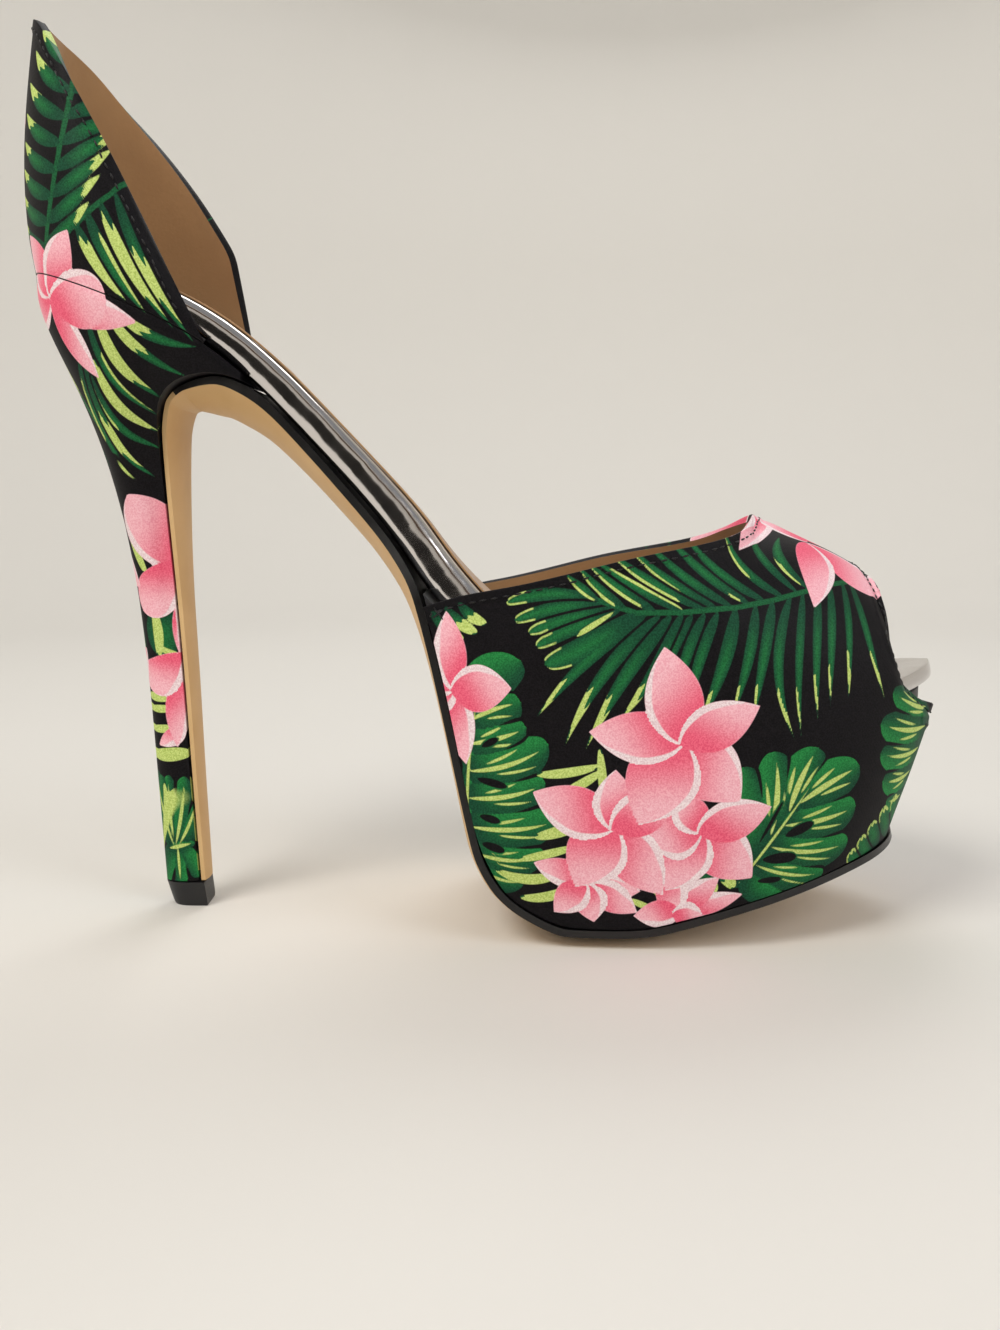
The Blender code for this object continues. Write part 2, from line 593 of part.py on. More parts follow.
def vamp_grid():
    """Outer surface of the vamp: columns from the outer back corner round the toe to the inner one."""
    rows = between_rows(VAMP_ROWS, VAMP_STEPS)
    count = len(rows.foot_x)
    sides = []
    for side in (-1, 1):
        ratio = 1 if side < 0 else MEDIAL_FOREFOOT
        lines = []
        for n in range(count):
            place = sole_place(rows.foot_x[n])
            foot_x, foot_z = sole_top(place, FIT_GAP)
            half = forefoot_half(rows.side_x[n], BALL_HALF, TOE_TIP_X) * ratio
            foot_tip_x = SOLE_TIP_X - VAMP_TIP_INSET
            foot_half = forefoot_half(rows.foot_x[n], SOLE_BALL_HALF - VAMP_FOOT_INSET, foot_tip_x) * ratio
            foot = np.array([foot_x, side * foot_half + swing(foot_x), foot_z])
            wide = np.array([rows.side_x[n], side * half + swing(rows.side_x[n]), rows.side_z[n]])
            top_y = side * half * rows.top_in[n] + swing(rows.top_x[n])
            angle = math.radians(rows.top_angle[n])
            drop = MEDIAL_DROP * math.sin(angle) * (side > 0) * (n < count // 2)
            top = np.array([rows.top_x[n], top_y, rows.top_z[n] - drop])
            climb = (wide - foot) / np.linalg.norm(wide - foot)
            reach = np.linalg.norm(top - wide) * VAMP_HANDLE
            inward = np.array([0.0, -side, 0.0])
            arrive = inward * math.cos(angle) + np.array([0, 0, math.sin(angle)])
            share = np.linspace(0, 1, FOOT_LEVELS + 1)[:, None]
            swell = VAMP_BELLY if half > VAMP_BELLY_LEAST else 0.0
            belly = swell * np.sin(np.pi * share) * np.array([0, side, 0])
            wall = foot + (wide - foot) * share + belly
            roof = bezier(wide, wide + climb * reach, top - arrive * reach, top, ROOF_LEVELS)
            lines.append(np.vstack([wall, roof]))
        side_grid = np.array(lines)
        for n in range(BACK_EDGE_ROWS * VAMP_STEPS):
            fade = 1 - n / (BACK_EDGE_ROWS * VAMP_STEPS)
            first = lines[0]
            side_grid[n, :, 0] += (back_edge_x(first[:, 2]) - first[:, 0]) * fade
        sides.append(side_grid)
    near, far = sides
    grid = np.concatenate([near, far[-2::-1]])
    for _ in range(FAIRING_ROUNDS):
        ring = grid[:-2, 1:-1] + grid[2:, 1:-1] + grid[1:-1, :-2] + grid[1:-1, 2:]
        grid[1:-1, 1:-1] += (ring / 4 - grid[1:-1, 1:-1]) * FAIRING_PULL
    ridge = [THROAT_ROW * VAMP_STEPS <= n <= PEEP_ROW * VAMP_STEPS for n in range(count)]
    welded = ridge + ridge[-2::-1]
    normals = grid_normals(grid, VAMP_CENTRE)
    for n, closed in enumerate(ridge):
        if closed:
            mirror = len(grid) - 1 - n
            middle = normals[n, -1] + normals[mirror, -1]
            middle[1] = 0
            normals[n, -1] = normals[mirror, -1] = middle / np.linalg.norm(middle)
            grid[mirror, -1] = grid[n, -1]
    return grid, normals, welded


def vamp(grid, normals, welded):
    return shell("upper_vamp", grid, grid - normals * VAMP_WALL, welded, SATIN)


def board_under(x):
    """Height of the underside of the insole board."""
    points, _ = side_line(BOARD_ROWS, np.linspace(0.1, along(BOARD_ROWS)[-1] - 0.1, 400))
    return np.interp(x, points[::-1, 0], points[::-1, 1])


def platform(grid, normals):
    """Block inside the vamp, between the sole and the insole board."""
    first = PEEP_ROW * VAMP_STEPS
    gap = np.full(len(grid), ARCH_GAP)
    gap[first : len(grid) - first] = PEEP_GAP
    steady = normals.copy()
    steady[:, -2:] = normals[:, -3:-2]
    skin = grid - steady * (VAMP_WALL + gap[:, None, None])
    skin[:, 0, 2] = grid[:, 0, 2]
    lines = []
    for n, line in enumerate(skin):
        if first < n < len(skin) - 1 - first:
            line = np.vstack([line, line[-1] + (0, 0, PLATFORM_NOSE)])
        room = board_under(line[:, 0]) - PLATFORM_TOP_GAP - line[:, 2]
        top = int(np.argmax(room < 0))
        share = room[top - 1] / (room[top - 1] - room[top])
        cut = line[top - 1] + (line[top] - line[top - 1]) * share
        path = np.vstack([line[:top], cut])
        length = np.concatenate([[0], np.cumsum(np.linalg.norm(np.diff(path, axis=0), axis=1))])
        at = np.linspace(0, length[-1], PLATFORM_LEVELS)
        lines.append(np.stack([np.interp(at, length, path[:, axis]) for axis in range(3)], axis=1))
    tip = len(lines) // 2
    rings = []
    for n in range(tip + 1):
        near = lines[n]
        far = lines[len(lines) - 1 - n]
        across = [near[-1] + (far[-1] - near[-1]) * share for share in PLATFORM_ACROSS]
        under = [far[0] + (near[0] - far[0]) * share for share in PLATFORM_ACROSS]
        rings.append(list(near) + across + list(far[::-1]) + under)
    return loft("platform", rings, BLACK_COVER, pointed=True)


def counter():
    """Heel cup: a wall that stands on the seat line and leans in towards its top edge."""
    rows = between_rows(COUNTER_ROWS, COUNTER_STEPS)
    sides = []
    for side in (-1, 1):
        foot_x = rows.foot_x if side < 0 else rows.inner_foot_x
        top_x = rows.top_x if side < 0 else rows.inner_top_x
        top_z = rows.top_z if side < 0 else rows.inner_top_z
        lines = []
        for n in range(len(foot_x)):
            half = seat_half(foot_x[n])
            foot = np.array([foot_x[n], side * half, board_under(foot_x[n])])
            top = np.array([top_x[n], side * half * rows.top_in[n], top_z[n]])
            backward = min(foot_x[n] - SEAT_WIDE_X, 0) * COUNTER_BACK_TURN
            outward = np.array([backward, side * half, 0])
            outward /= np.linalg.norm(outward)
            share = np.linspace(0, 1, COUNTER_LEVELS + 1)[:, None]
            height = min(1.0, (top[2] - foot[2]) / COUNTER_BULGE_HEIGHT)
            bulge = COUNTER_BULGE * height * np.sin(np.pi * share**COUNTER_BULGE_POWER)
            lines.append(foot + (top - foot) * share + outward * bulge)
        sides.append(np.array(lines))
    near, far = sides
    grid = np.concatenate([near, far[-2::-1]])
    normals = grid_normals(grid, COUNTER_CENTRE)
    inner = grid - normals * COUNTER_WALL
    inner[:, 0, 2] = board_under(inner[:, 0, 0])
    return shell("upper_counter", grid, inner, [False] * len(grid), SATIN)


def breast_line():
    """Front of the heel block from the tip to the thin wedge under the board, behind the sole's flap."""
    knots = along(SOLE_ROWS)
    ahead, behind = SOLE_ROWS[HEEL_FRONT_ROW : HEEL_FRONT_ROW + 2]
    share = (HEEL_FRONT_X - ahead.x) / (behind.x - ahead.x)
    first = knots[HEEL_FRONT_ROW] * (1 - share) + knots[HEEL_FRONT_ROW + 1] * share
    places = np.linspace(knots[-1], first, BREAST_POINTS)
    return places, np.array([sole_top(place, ARCH_GAP) for place in places])


def heel_round(t):
    """Share of the half width left, from the flat front of a heel section to its round back."""
    past = max(0, (t - HEEL_ROUND_START) / (1 - HEEL_ROUND_START))
    return (1 - past**HEEL_ROUND_POWER) ** (1 / HEEL_ROUND_POWER)


def heel():
    """Stiletto block: flat breast, round back, its top face lying along the underside of the board."""
    rows = between_rows(HEEL_ROWS, HEEL_STEPS)
    places, line = breast_line()
    lateral = filled(SOLE_ROWS, "half", places)
    run = np.concatenate([[0], np.cumsum(np.linalg.norm(np.diff(line, axis=0), axis=1))])
    run /= run[-1]
    rings = []
    for n in range(len(rows.breast)):
        front = np.array([np.interp(rows.breast[n], run, line[:, axis]) for axis in range(2)])
        front_half = float(np.interp(rows.breast[n], run, lateral)) + FLAP_COVER
        back = np.array([rows.back_x[n], rows.back_z[n]])
        share = np.sin(np.linspace(0, math.pi / 2, HEEL_SIDE_POINTS))
        halves = []
        heights = []
        for t in share:
            x, z = front + (back - front) * t
            ease = min(t / HEEL_ROUND_START, 1)
            widening = (rows.half[n] - front_half) * ease * ease * (3 - 2 * ease)
            plain = (front_half + widening) * heel_round(t)
            wide = seat_half(x) * rows.half[n] / SEAT_HALF
            halves.append(plain + (wide - plain) * rows.seat[n])
            seat_z = float(board_under(x)) - FIT_GAP
            chord = (board_under(front[0]) - FIT_GAP) * (1 - t) + (board_under(back[0]) - FIT_GAP) * t
            heights.append(z + (seat_z - chord) * rows.bow[n])
        xs = front[0] + (back[0] - front[0]) * share
        near = [(x, -half, z) for x, half, z in zip(xs, halves, heights)]
        far = [(x, half, z) for x, half, z in zip(xs[-2::-1], halves[-2::-1], heights[-2::-1])]
        rings.append(near + far)
    rings.append([(x, y, float(board_under(x)) - FIT_GAP) for x, y, _ in rings[-1]])
    return loft("heel", rings, SATIN)


def top_piece():
    """Heel tip: a small block with a flat front and a round back."""
    share = np.sin(np.linspace(0, math.pi / 2, TIP_SIDE_POINTS))
    rings = []
    for row in TIP_ROWS:
        depth = row.front_x - row.back_x
        halves = [row.half * heel_round(t) for t in share]
        near = [(row.front_x - depth * t, -half, row.z) for t, half in zip(share, halves)]
        far = [(row.front_x - depth * t, half, row.z) for t, half in list(zip(share, halves))[-2::-1]]
        rings.append(near + far)
    return loft("top_piece", rings, BLACK_PLASTIC)


for old in list(bpy.data.objects):
    bpy.data.objects.remove(old)
vamp_points, vamp_normals, vamp_welded = vamp_grid()
outsole()
platform(vamp_points, vamp_normals)
insole()
sock()
vamp(vamp_points, vamp_normals, vamp_welded)
counter()
heel()
top_piece()
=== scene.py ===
import math
from collections import namedtuple

import bmesh
import bpy
import numpy as np
from mathutils import Matrix, Vector
from mathutils.bvhtree import BVHTree
from mathutils.kdtree import KDTree


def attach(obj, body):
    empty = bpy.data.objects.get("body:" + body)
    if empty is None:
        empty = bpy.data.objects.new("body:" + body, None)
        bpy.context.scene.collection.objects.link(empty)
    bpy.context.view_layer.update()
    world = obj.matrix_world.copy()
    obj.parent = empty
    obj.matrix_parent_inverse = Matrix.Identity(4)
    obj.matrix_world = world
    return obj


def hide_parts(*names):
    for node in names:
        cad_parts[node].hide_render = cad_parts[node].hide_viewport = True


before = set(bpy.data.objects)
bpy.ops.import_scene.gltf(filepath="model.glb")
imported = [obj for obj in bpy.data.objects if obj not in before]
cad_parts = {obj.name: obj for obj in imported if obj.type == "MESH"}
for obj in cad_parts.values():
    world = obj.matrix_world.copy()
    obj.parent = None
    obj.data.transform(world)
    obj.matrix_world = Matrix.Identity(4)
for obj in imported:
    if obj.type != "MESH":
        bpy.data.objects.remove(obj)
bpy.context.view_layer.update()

# Outsole
# One thin sheet of beige rubber under the platform, up the arch and down the front of the heel.
# It is skived and painted black along its edges, and cemented to the block, the board and the heel.
MM = 0.001
WELD = 0.001 * MM
SHARP = math.radians(40)
NEARLY_SQUARE = math.radians(60)
EDGE_SEGMENTS = 2
SOLE_EDGE_ROUND = 0.35 * MM
SOLE_LEVELS = 2

# The sheet is painted all round in front of its nose, and not at all down the breast of the heel
SOLE_NOSE = 71.5 * MM
BREAST_TOP = 123.0 * MM
BREAST_BACK = -93.0 * MM


def paint(hex_colour):
    """An sRGB hex colour as linear red, green and blue with full alpha."""
    shares = [int(hex_colour[i : i + 2], 16) / 255 for i in (1, 3, 5)]
    return tuple(s / 12.92 if s <= 0.04045 else ((s + 0.055) / 1.055) ** 2.4 for s in shares) + (1.0,)


def node(tree, kind, inputs=None, **settings):
    """Adds a shader node, makes its settings and fills its inputs with values or other nodes' outputs."""
    made = tree.nodes.new(kind)
    for name, value in settings.items():
        setattr(made, name, value)
    for socket, value in (inputs or {}).items():
        if isinstance(value, bpy.types.NodeSocket):
            tree.links.new(value, made.inputs[socket])
        else:
            made.inputs[socket].default_value = value
    return made


def new_finish(name):
    """A new material, its node tree, its shader and the coordinates that lie fast on the piece."""
    material = bpy.data.materials.new(name)
    material.use_nodes = True
    tree = material.node_tree
    place = node(tree, "ShaderNodeTexCoord").outputs["Object"]
    return material, tree, tree.nodes["Principled BSDF"], place


def cad_cage(node_name):
    """A welded copy of a CAD node's mesh, with its triangles paired to four-sided faces."""
    cage = bmesh.new()
    cage.from_mesh(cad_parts[node_name].data)
    bmesh.ops.remove_doubles(cage, verts=cage.verts[:], dist=WELD)
    bmesh.ops.join_triangles(
        cage, faces=cage.faces[:], angle_face_threshold=SHARP, angle_shape_threshold=NEARLY_SQUARE
    )
    return cage


def smooth_sheets(cage):
    """The cage's faces in groups bounded by sharp edges, the largest group first."""
    groups = []
    for face in cage.faces:
        face.tag = False
    for first in cage.faces:
        if first.tag:
            continue
        first.tag = True
        group = [first]
        for face in group:
            for edge in face.edges:
                if edge.calc_face_angle(0.0) > SHARP:
                    continue
                for other in edge.link_faces:
                    if not other.tag:
                        other.tag = True
                        group.append(other)
        groups.append(group)
    return sorted(groups, key=lambda group: -sum(face.calc_area() for face in group))


def rounded(cage, rounding, levels):
    """The cage with its sharp edges rounded and its faces subdivided smoothly, as a new bmesh."""
    sharp = [edge for edge in cage.edges if edge.calc_face_angle(0.0) > SHARP]
    bmesh.ops.bevel(
        cage, geom=sharp, offset=rounding, offset_type="OFFSET", affect="EDGES",
        segments=EDGE_SEGMENTS, profile=0.5, material=-1, clamp_overlap=True,
    )
    mesh = bpy.data.meshes.new("cage")
    cage.to_mesh(mesh)
    cage.free()
    holder = bpy.data.objects.new("cage", mesh)
    bpy.context.scene.collection.objects.link(holder)
    subdivision = holder.modifiers.new("smooth", "SUBSURF")
    subdivision.levels = levels
    subdivision.render_levels = levels
    skin = bmesh.new()
    skin.from_object(holder, bpy.context.evaluated_depsgraph_get())
    bpy.data.objects.remove(holder)
    bpy.data.meshes.remove(mesh)
    return skin


def as_piece(name, skin, materials):
    """A smooth-shaded object at the origin from a finished bmesh."""
    mesh = bpy.data.meshes.new(name)
    skin.to_mesh(mesh)
    skin.free()
    mesh.shade_smooth()
    for material in materials:
        mesh.materials.append(material)
    piece = bpy.data.objects.new(name, mesh)
    bpy.context.scene.collection.objects.link(piece)
    return piece


# Calendered sole rubber: matt, faintly clouded, with the fine grit of the rollers
RUBBER_CLOUD = 14 * MM
RUBBER_GRIT = 0.5 * MM
sole_rubber, tree, shader, place = new_finish("calendered_beige_rubber")
cloud = node(tree, "ShaderNodeTexNoise", {"Vector": place, "Scale": 1 / RUBBER_CLOUD, "Detail": 3.0})
tone = node(
    tree, "ShaderNodeMix",
    {0: cloud.outputs["Fac"], 6: paint("#C39C66"), 7: paint("#DAB784")}, data_type="RGBA",
)
grit = node(tree, "ShaderNodeTexNoise", {"Vector": place, "Scale": 1 / RUBBER_GRIT, "Detail": 2.0})
relief = node(
    tree, "ShaderNodeBump",
    {"Height": grit.outputs["Fac"], "Strength": 0.25, "Distance": 0.05 * MM},
)
tree.links.new(tone.outputs[2], shader.inputs["Base Color"])
tree.links.new(relief.outputs["Normal"], shader.inputs["Normal"])
shader.inputs["Roughness"].default_value = 0.55

# Edge paint: brushed on in two coats, so it is smooth with low ridges along the edge
PAINT_RIDGE = 3 * MM
edge_paint, tree, shader, place = new_finish("black_edge_paint")
ridge = node(tree, "ShaderNodeTexNoise", {"Vector": place, "Scale": 1 / PAINT_RIDGE, "Detail": 2.0})
sheen = node(tree, "ShaderNodeMapRange", {"Value": ridge.outputs["Fac"], "To Min": 0.28, "To Max": 0.46})
relief = node(tree, "ShaderNodeBump", {"Height": ridge.outputs["Fac"], "Strength": 0.3, "Distance": 0.1 * MM})
tree.links.new(sheen.outputs["Result"], shader.inputs["Roughness"])
tree.links.new(relief.outputs["Normal"], shader.inputs["Normal"])
shader.inputs["Base Color"].default_value = paint("#0C0A0B")

cage = cad_cage("outsole")
groups = smooth_sheets(cage)
top_faces = set(min(groups[:2], key=len))
for face in cage.faces:
    beside_top = any(other in top_faces for edge in face.edges for other in edge.link_faces)
    centre = face.calc_center_median()
    on_breast = centre.x < BREAST_BACK and centre.z < BREAST_TOP
    face.material_index = 1 if (beside_top and not on_breast) or centre.x > SOLE_NOSE else 0
outsole = as_piece("outsole_sheet", rounded(cage, SOLE_EDGE_ROUND, SOLE_LEVELS), [sole_rubber, edge_paint])
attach(outsole, "root")
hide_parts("outsole")

# Platform
# A block of light foam under the ball of the foot, covered in plain black satin.
# Only the front of it shows, inside the open toe.
PLATFORM_ROUND = 0.8 * MM
PLATFORM_LEVELS = 1

# Plain satin: a close smooth weave stretched tight, so only a faint grain and a soft sheen show
COVER_GRAIN = 0.6 * MM
black_satin, tree, shader, place = new_finish("plain_black_satin")
grain = node(tree, "ShaderNodeTexNoise", {"Vector": place, "Scale": 1 / COVER_GRAIN, "Detail": 2.0})
tone = node(
    tree, "ShaderNodeMix",
    {0: grain.outputs["Fac"], 6: paint("#0A090B"), 7: paint("#19171B")}, data_type="RGBA",
)
relief = node(
    tree, "ShaderNodeBump",
    {"Height": grain.outputs["Fac"], "Strength": 0.3, "Distance": 0.05 * MM},
)
tree.links.new(tone.outputs[2], shader.inputs["Base Color"])
tree.links.new(relief.outputs["Normal"], shader.inputs["Normal"])
shader.inputs["Roughness"].default_value = 0.5
shader.inputs["Sheen Weight"].default_value = 0.1

platform_skin = rounded(cad_cage("platform"), PLATFORM_ROUND, PLATFORM_LEVELS)
platform = as_piece("platform_cover", platform_skin, [black_satin])
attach(platform, "root")
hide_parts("platform")

# Insole board
# A stiff board from toe to heel seat, wrapped in mirror-bright silver foil on a thin leather backing.
# The foil is pulled over the edge and glued underneath, so its edge is round and slightly wavy.
INSOLE_ROUND = 0.5 * MM
INSOLE_LEVELS = 2

# Silver foil: metal-coated film pressed on thin leather. It mirrors the room in long bands,
# bent by the slow waves of the wrapping and broken by small dents.
FOIL_WAVE = 16 * MM
FOIL_DENT = 3.5 * MM
FOIL_GRAIN = 0.45 * MM
FOIL_PULL = (0.45, 1.0, 1.0)
silver_foil, tree, shader, place = new_finish("mirror_silver_foil")
pulled = node(tree, "ShaderNodeMapping", {"Vector": place, "Scale": FOIL_PULL}).outputs["Vector"]
wave = node(tree, "ShaderNodeTexNoise", {"Vector": pulled, "Scale": 1 / FOIL_WAVE, "Detail": 1.0})
dent = node(tree, "ShaderNodeTexNoise", {"Vector": pulled, "Scale": 1 / FOIL_DENT, "Detail": 1.0})
grain = node(tree, "ShaderNodeTexNoise", {"Vector": place, "Scale": 1 / FOIL_GRAIN, "Detail": 2.0})
waves = node(
    tree, "ShaderNodeBump",
    {"Height": wave.outputs["Fac"], "Strength": 1.0, "Distance": 1.1 * MM},
).outputs["Normal"]
dents = node(
    tree, "ShaderNodeBump",
    {"Height": dent.outputs["Fac"], "Strength": 1.0, "Distance": 0.07 * MM, "Normal": waves},
).outputs["Normal"]
relief = node(
    tree, "ShaderNodeBump",
    {"Height": grain.outputs["Fac"], "Strength": 0.25, "Distance": 0.01 * MM, "Normal": dents},
)
dull = node(tree, "ShaderNodeMapRange", {"Value": dent.outputs["Fac"], "To Min": 0.05, "To Max": 0.2})
tree.links.new(dull.outputs["Result"], shader.inputs["Roughness"])
tree.links.new(relief.outputs["Normal"], shader.inputs["Normal"])
shader.inputs["Base Color"].default_value = paint("#CECAC8")
shader.inputs["Metallic"].default_value = 1.0

insole = as_piece("insole_board", rounded(cad_cage("insole"), INSOLE_ROUND, INSOLE_LEVELS), [silver_foil])
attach(insole, "root")
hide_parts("insole")

# Sock
# The tan lining that the foot stands on: thin split leather with a short nap.
# It is glued to the board and leaves a narrow margin of silver all round.
SOCK_ROUND = 0.15 * MM
SOCK_LEVELS = 2

# Split leather: the sanded flesh side of the hide, matt and clouded, with a nap that catches the light
NAP = 0.8 * MM
HIDE_CLOUD = 18 * MM
tan_suede, tree, shader, place = new_finish("tan_split_leather")
cloud = node(tree, "ShaderNodeTexNoise", {"Vector": place, "Scale": 1 / HIDE_CLOUD, "Detail": 4.0})
nap = node(tree, "ShaderNodeTexNoise", {"Vector": place, "Scale": 1 / NAP, "Detail": 3.0})
tone = node(
    tree, "ShaderNodeMix",
    {0: cloud.outputs["Fac"], 6: paint("#8A6440"), 7: paint("#BE9566")}, data_type="RGBA",
)
fleck = node(
    tree, "ShaderNodeMix",
    {0: nap.outputs["Fac"], 6: tone.outputs[2], 7: paint("#A07A50")}, data_type="RGBA",
)
relief = node(tree, "ShaderNodeBump", {"Height": nap.outputs["Fac"], "Strength": 0.5, "Distance": 0.12 * MM})
tree.links.new(fleck.outputs[2], shader.inputs["Base Color"])
tree.links.new(relief.outputs["Normal"], shader.inputs["Normal"])
shader.inputs["Roughness"].default_value = 0.85
shader.inputs["Sheen Weight"].default_value = 0.25

sock = as_piece("sock_lining", rounded(cad_cage("sock"), SOCK_ROUND, SOCK_LEVELS), [tan_suede])
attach(sock, "root")
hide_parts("sock")

# Vamp
# Printed satin on a woven backing, lasted over the forefoot and the platform and turned in at the edges.
# Its top edge and the open toe are folded and stitched to the tan lining before lasting.
VAMP_ROUND = 0.55 * MM
VAMP_LEVELS = 2
VAMP_POINTS = 0.6 * MM
OUTER_POINTS = 0.42 * MM

# The print is charted in mm, and a place along a motif is a share of its length
FAR = 99.0
LEAST_LENGTH = 0.001
LEAST_HALF = 0.1
TURNED_AWAY = -0.25
PETALS_REACH = 45.0
LEAF_REACH = 60.0
PALM_REACH = 75.0

# What is seen as right and as up from each side of the shoe
SIDES = {
    "outer": (Vector((1, 0, 0)), Vector((0, 0, 1))),
    "inner": (Vector((-1, 0, 0)), Vector((0, 0, 1))),
    "front": (Vector((0, 1, 0)), Vector((0, 0, 1))),
    "back": (Vector((0, -1, 0)), Vector((0, 0, 1))),
    "top": (Vector((1, 0, 0)), Vector((0, 1, 0))),
}
PRINT_LAYERS = ("leaf", "light", "lime", "petal", "blush", "rim")


class Print:
    """Printed skins: their points in mm and, for each, how it lies to the edges of the printed colours."""

    def __init__(self, *skins):
        for skin in skins:
            skin.normal_update()
        self.points = np.array([vert.co for skin in skins for vert in skin.verts]) / MM
        self.normals = np.array([vert.normal for skin in skins for vert in skin.verts])
        self.trees = [BVHTree.FromBMesh(skin) for skin in skins]
        count = len(self.points)
        self.leaf = np.full(count, FAR)
        self.light = np.zeros(count)
        self.lime = np.full(count, FAR)
        self.petal = np.full(count, FAR)
        self.blush = np.zeros(count)
        self.rim = np.full(count, FAR)

    def hit(self, side, spot):
        """Where a line straight into that side meets the skins, with the normal there, or None."""
        right, up = SIDES[side]
        look = up.cross(right)
        start = (right * spot[0] + up * spot[1]) * MM - look
        hits = [tree.ray_cast(start, look) for tree in self.trees]
        hits = [found for found in hits if found[0] is not None]
        return min(hits, key=lambda found: found[3])[:2] if hits else None

    def chart(self, side, spot, reach):
        """The points round a spot, their places on the skin rolled out flat, and a finder of such places."""
        centre, normal = self.hit(side, spot)
        right = SIDES[side][0]
        right_here = (right - normal * right.dot(normal)).normalized()
        axes = np.array([right_here, normal.cross(right_here)]).T

        def roll_out(offsets):
            flat = offsets @ axes
            flat_length = np.maximum(np.linalg.norm(flat, axis=1), LEAST_LENGTH)
            return flat * (np.linalg.norm(offsets, axis=1) / flat_length)[:, None]

        def locate(*place):
            found = self.hit(side, place)
            if found is None:
                return np.array(place, float) - np.array(spot, float)
            return roll_out(np.array([found[0] - centre]) / MM)[0]

        offsets = self.points - np.array(centre) / MM
        facing = self.normals @ np.array(normal) > TURNED_AWAY
        near = np.nonzero((np.linalg.norm(offsets, axis=1) < reach) & facing)[0]
        return near, roll_out(offsets[near]), locate


def turned(angle, length=1.0):
    """A vector of that length at that angle, in degrees."""
    return length * np.array([math.cos(math.radians(angle)), math.sin(math.radians(angle))])


def ramp(low, high, value):
    """0 at low and 1 at high, smooth between."""
    share = np.clip((value - low) / (high - low), 0.0, 1.0)
    return share * share * (3.0 - 2.0 * share)


def bend(bow, share):
    """How far a bowed line lies aside at a share of its length, where bow is the most that it does."""
    return 4.0 * bow * share * (1.0 - share)


def blade(at, base, tip, width, bow=0.0, heel=0.5, point=0.75):
    """How far points lie outside a leaf shape, their places along and across it, and its half width there."""
    axis = tip - base
    length = math.hypot(*axis)
    ahead = axis / length
    left = np.array([-ahead[1], ahead[0]])
    along = (at - base) @ ahead / length
    held = np.clip(along, 0.0, 1.0)
    across = (at - base) @ left - bend(bow, held)
    fullest = heel / (heel + point)
    peak = fullest**heel * (1.0 - fullest) ** point
    half = 0.5 * width * held**heel * (1.0 - held) ** point / peak
    past_end = np.maximum(np.maximum(-along, along - 1.0), 0.0) * length
    outside = np.where(past_end > 0.0, np.hypot(past_end, across), np.abs(across) - half)
    return outside, along, across, half


def print_leaf(skin, near, outside, light):
    """Adds a green shape, with its own light and shade."""
    closer = outside < skin.leaf[near]
    skin.leaf[near] = np.minimum(skin.leaf[near], outside)
    skin.light[near] = np.where(closer, light, skin.light[near])


def print_lime(skin, near, outside):
    """Adds a lime streak over the leaves."""
    skin.lime[near] = np.minimum(skin.lime[near], outside)


# A petal fades from its heart to its tip, and its pale band widens and narrows along one edge
POINTED = 1.0
PETAL_HEEL = 0.8
PETAL_ROOT = -0.7
FLOWER_REACH = 1.3
BLUSH_FADES = (0.15, 0.85)
BLUSH_LEAN = 0.2
BAND = 1.5
BAND_AT_HEART = 0.55
BAND_WIDENS = (0.0, 0.3)
BAND_AT_TIP = 0.2
BAND_NARROWS = (0.55, 0.95)


def print_petal(skin, near, at, base, tip, width, point):
    """Adds one petal: deep pink at its heart, pale at its tip, with a pale turned band along one edge."""
    outside, along, across, half = blade(at, base, tip, width, 0.0, PETAL_HEEL, point)
    inside = outside < 0.0
    skin.petal[near] = np.minimum(skin.petal[near], outside)
    blush = 1.0 - ramp(*BLUSH_FADES, along + BLUSH_LEAN * across / np.maximum(half, LEAST_HALF))
    band = BAND * (BAND_AT_HEART + (1.0 - BAND_AT_HEART) * ramp(*BAND_WIDENS, along))
    band *= 1.0 - (1.0 - BAND_AT_TIP) * ramp(*BAND_NARROWS, along)
    below = skin.rim[near]
    beside = np.where(across > 0.0, np.minimum(below, outside), np.maximum(below, -outside))
    skin.blush[near] = np.where(inside, blush, skin.blush[near])
    skin.rim[near] = np.where(inside, np.minimum((half - band) - across, -outside), beside)


def print_flower(skin, side, spot, petals):
    """Adds a flower, each petal given as its angle, length and width."""
    near, at, _ = skin.chart(side, spot, FLOWER_REACH * max(petal[1] for petal in petals))
    for angle, length, width in sorted(petals, reverse=True):
        print_petal(skin, near, at, turned(angle, PETAL_ROOT), turned(angle, length), width, POINTED)


Petal = namedtuple("Petal", "x z to_x to_z width point", defaults=(POINTED,))


def print_petals(skin, side, spot, petals):
    """Adds single petals, each from a place to a place as seen from that side."""
    near, at, locate = skin.chart(side, spot, PETALS_REACH)
    for petal in petals:
        base, tip = locate(petal.x, petal.z), locate(petal.to_x, petal.to_z)
        print_petal(skin, near, at, base, tip, petal.width, petal.point)


def past_others(shapes):
    """For each of several shapes, how much further points lie outside it than outside the nearest other."""
    nearest, second = np.sort(shapes, axis=0)[:2]
    return [shape - np.where(shape == nearest, second, nearest) for shape in shapes]


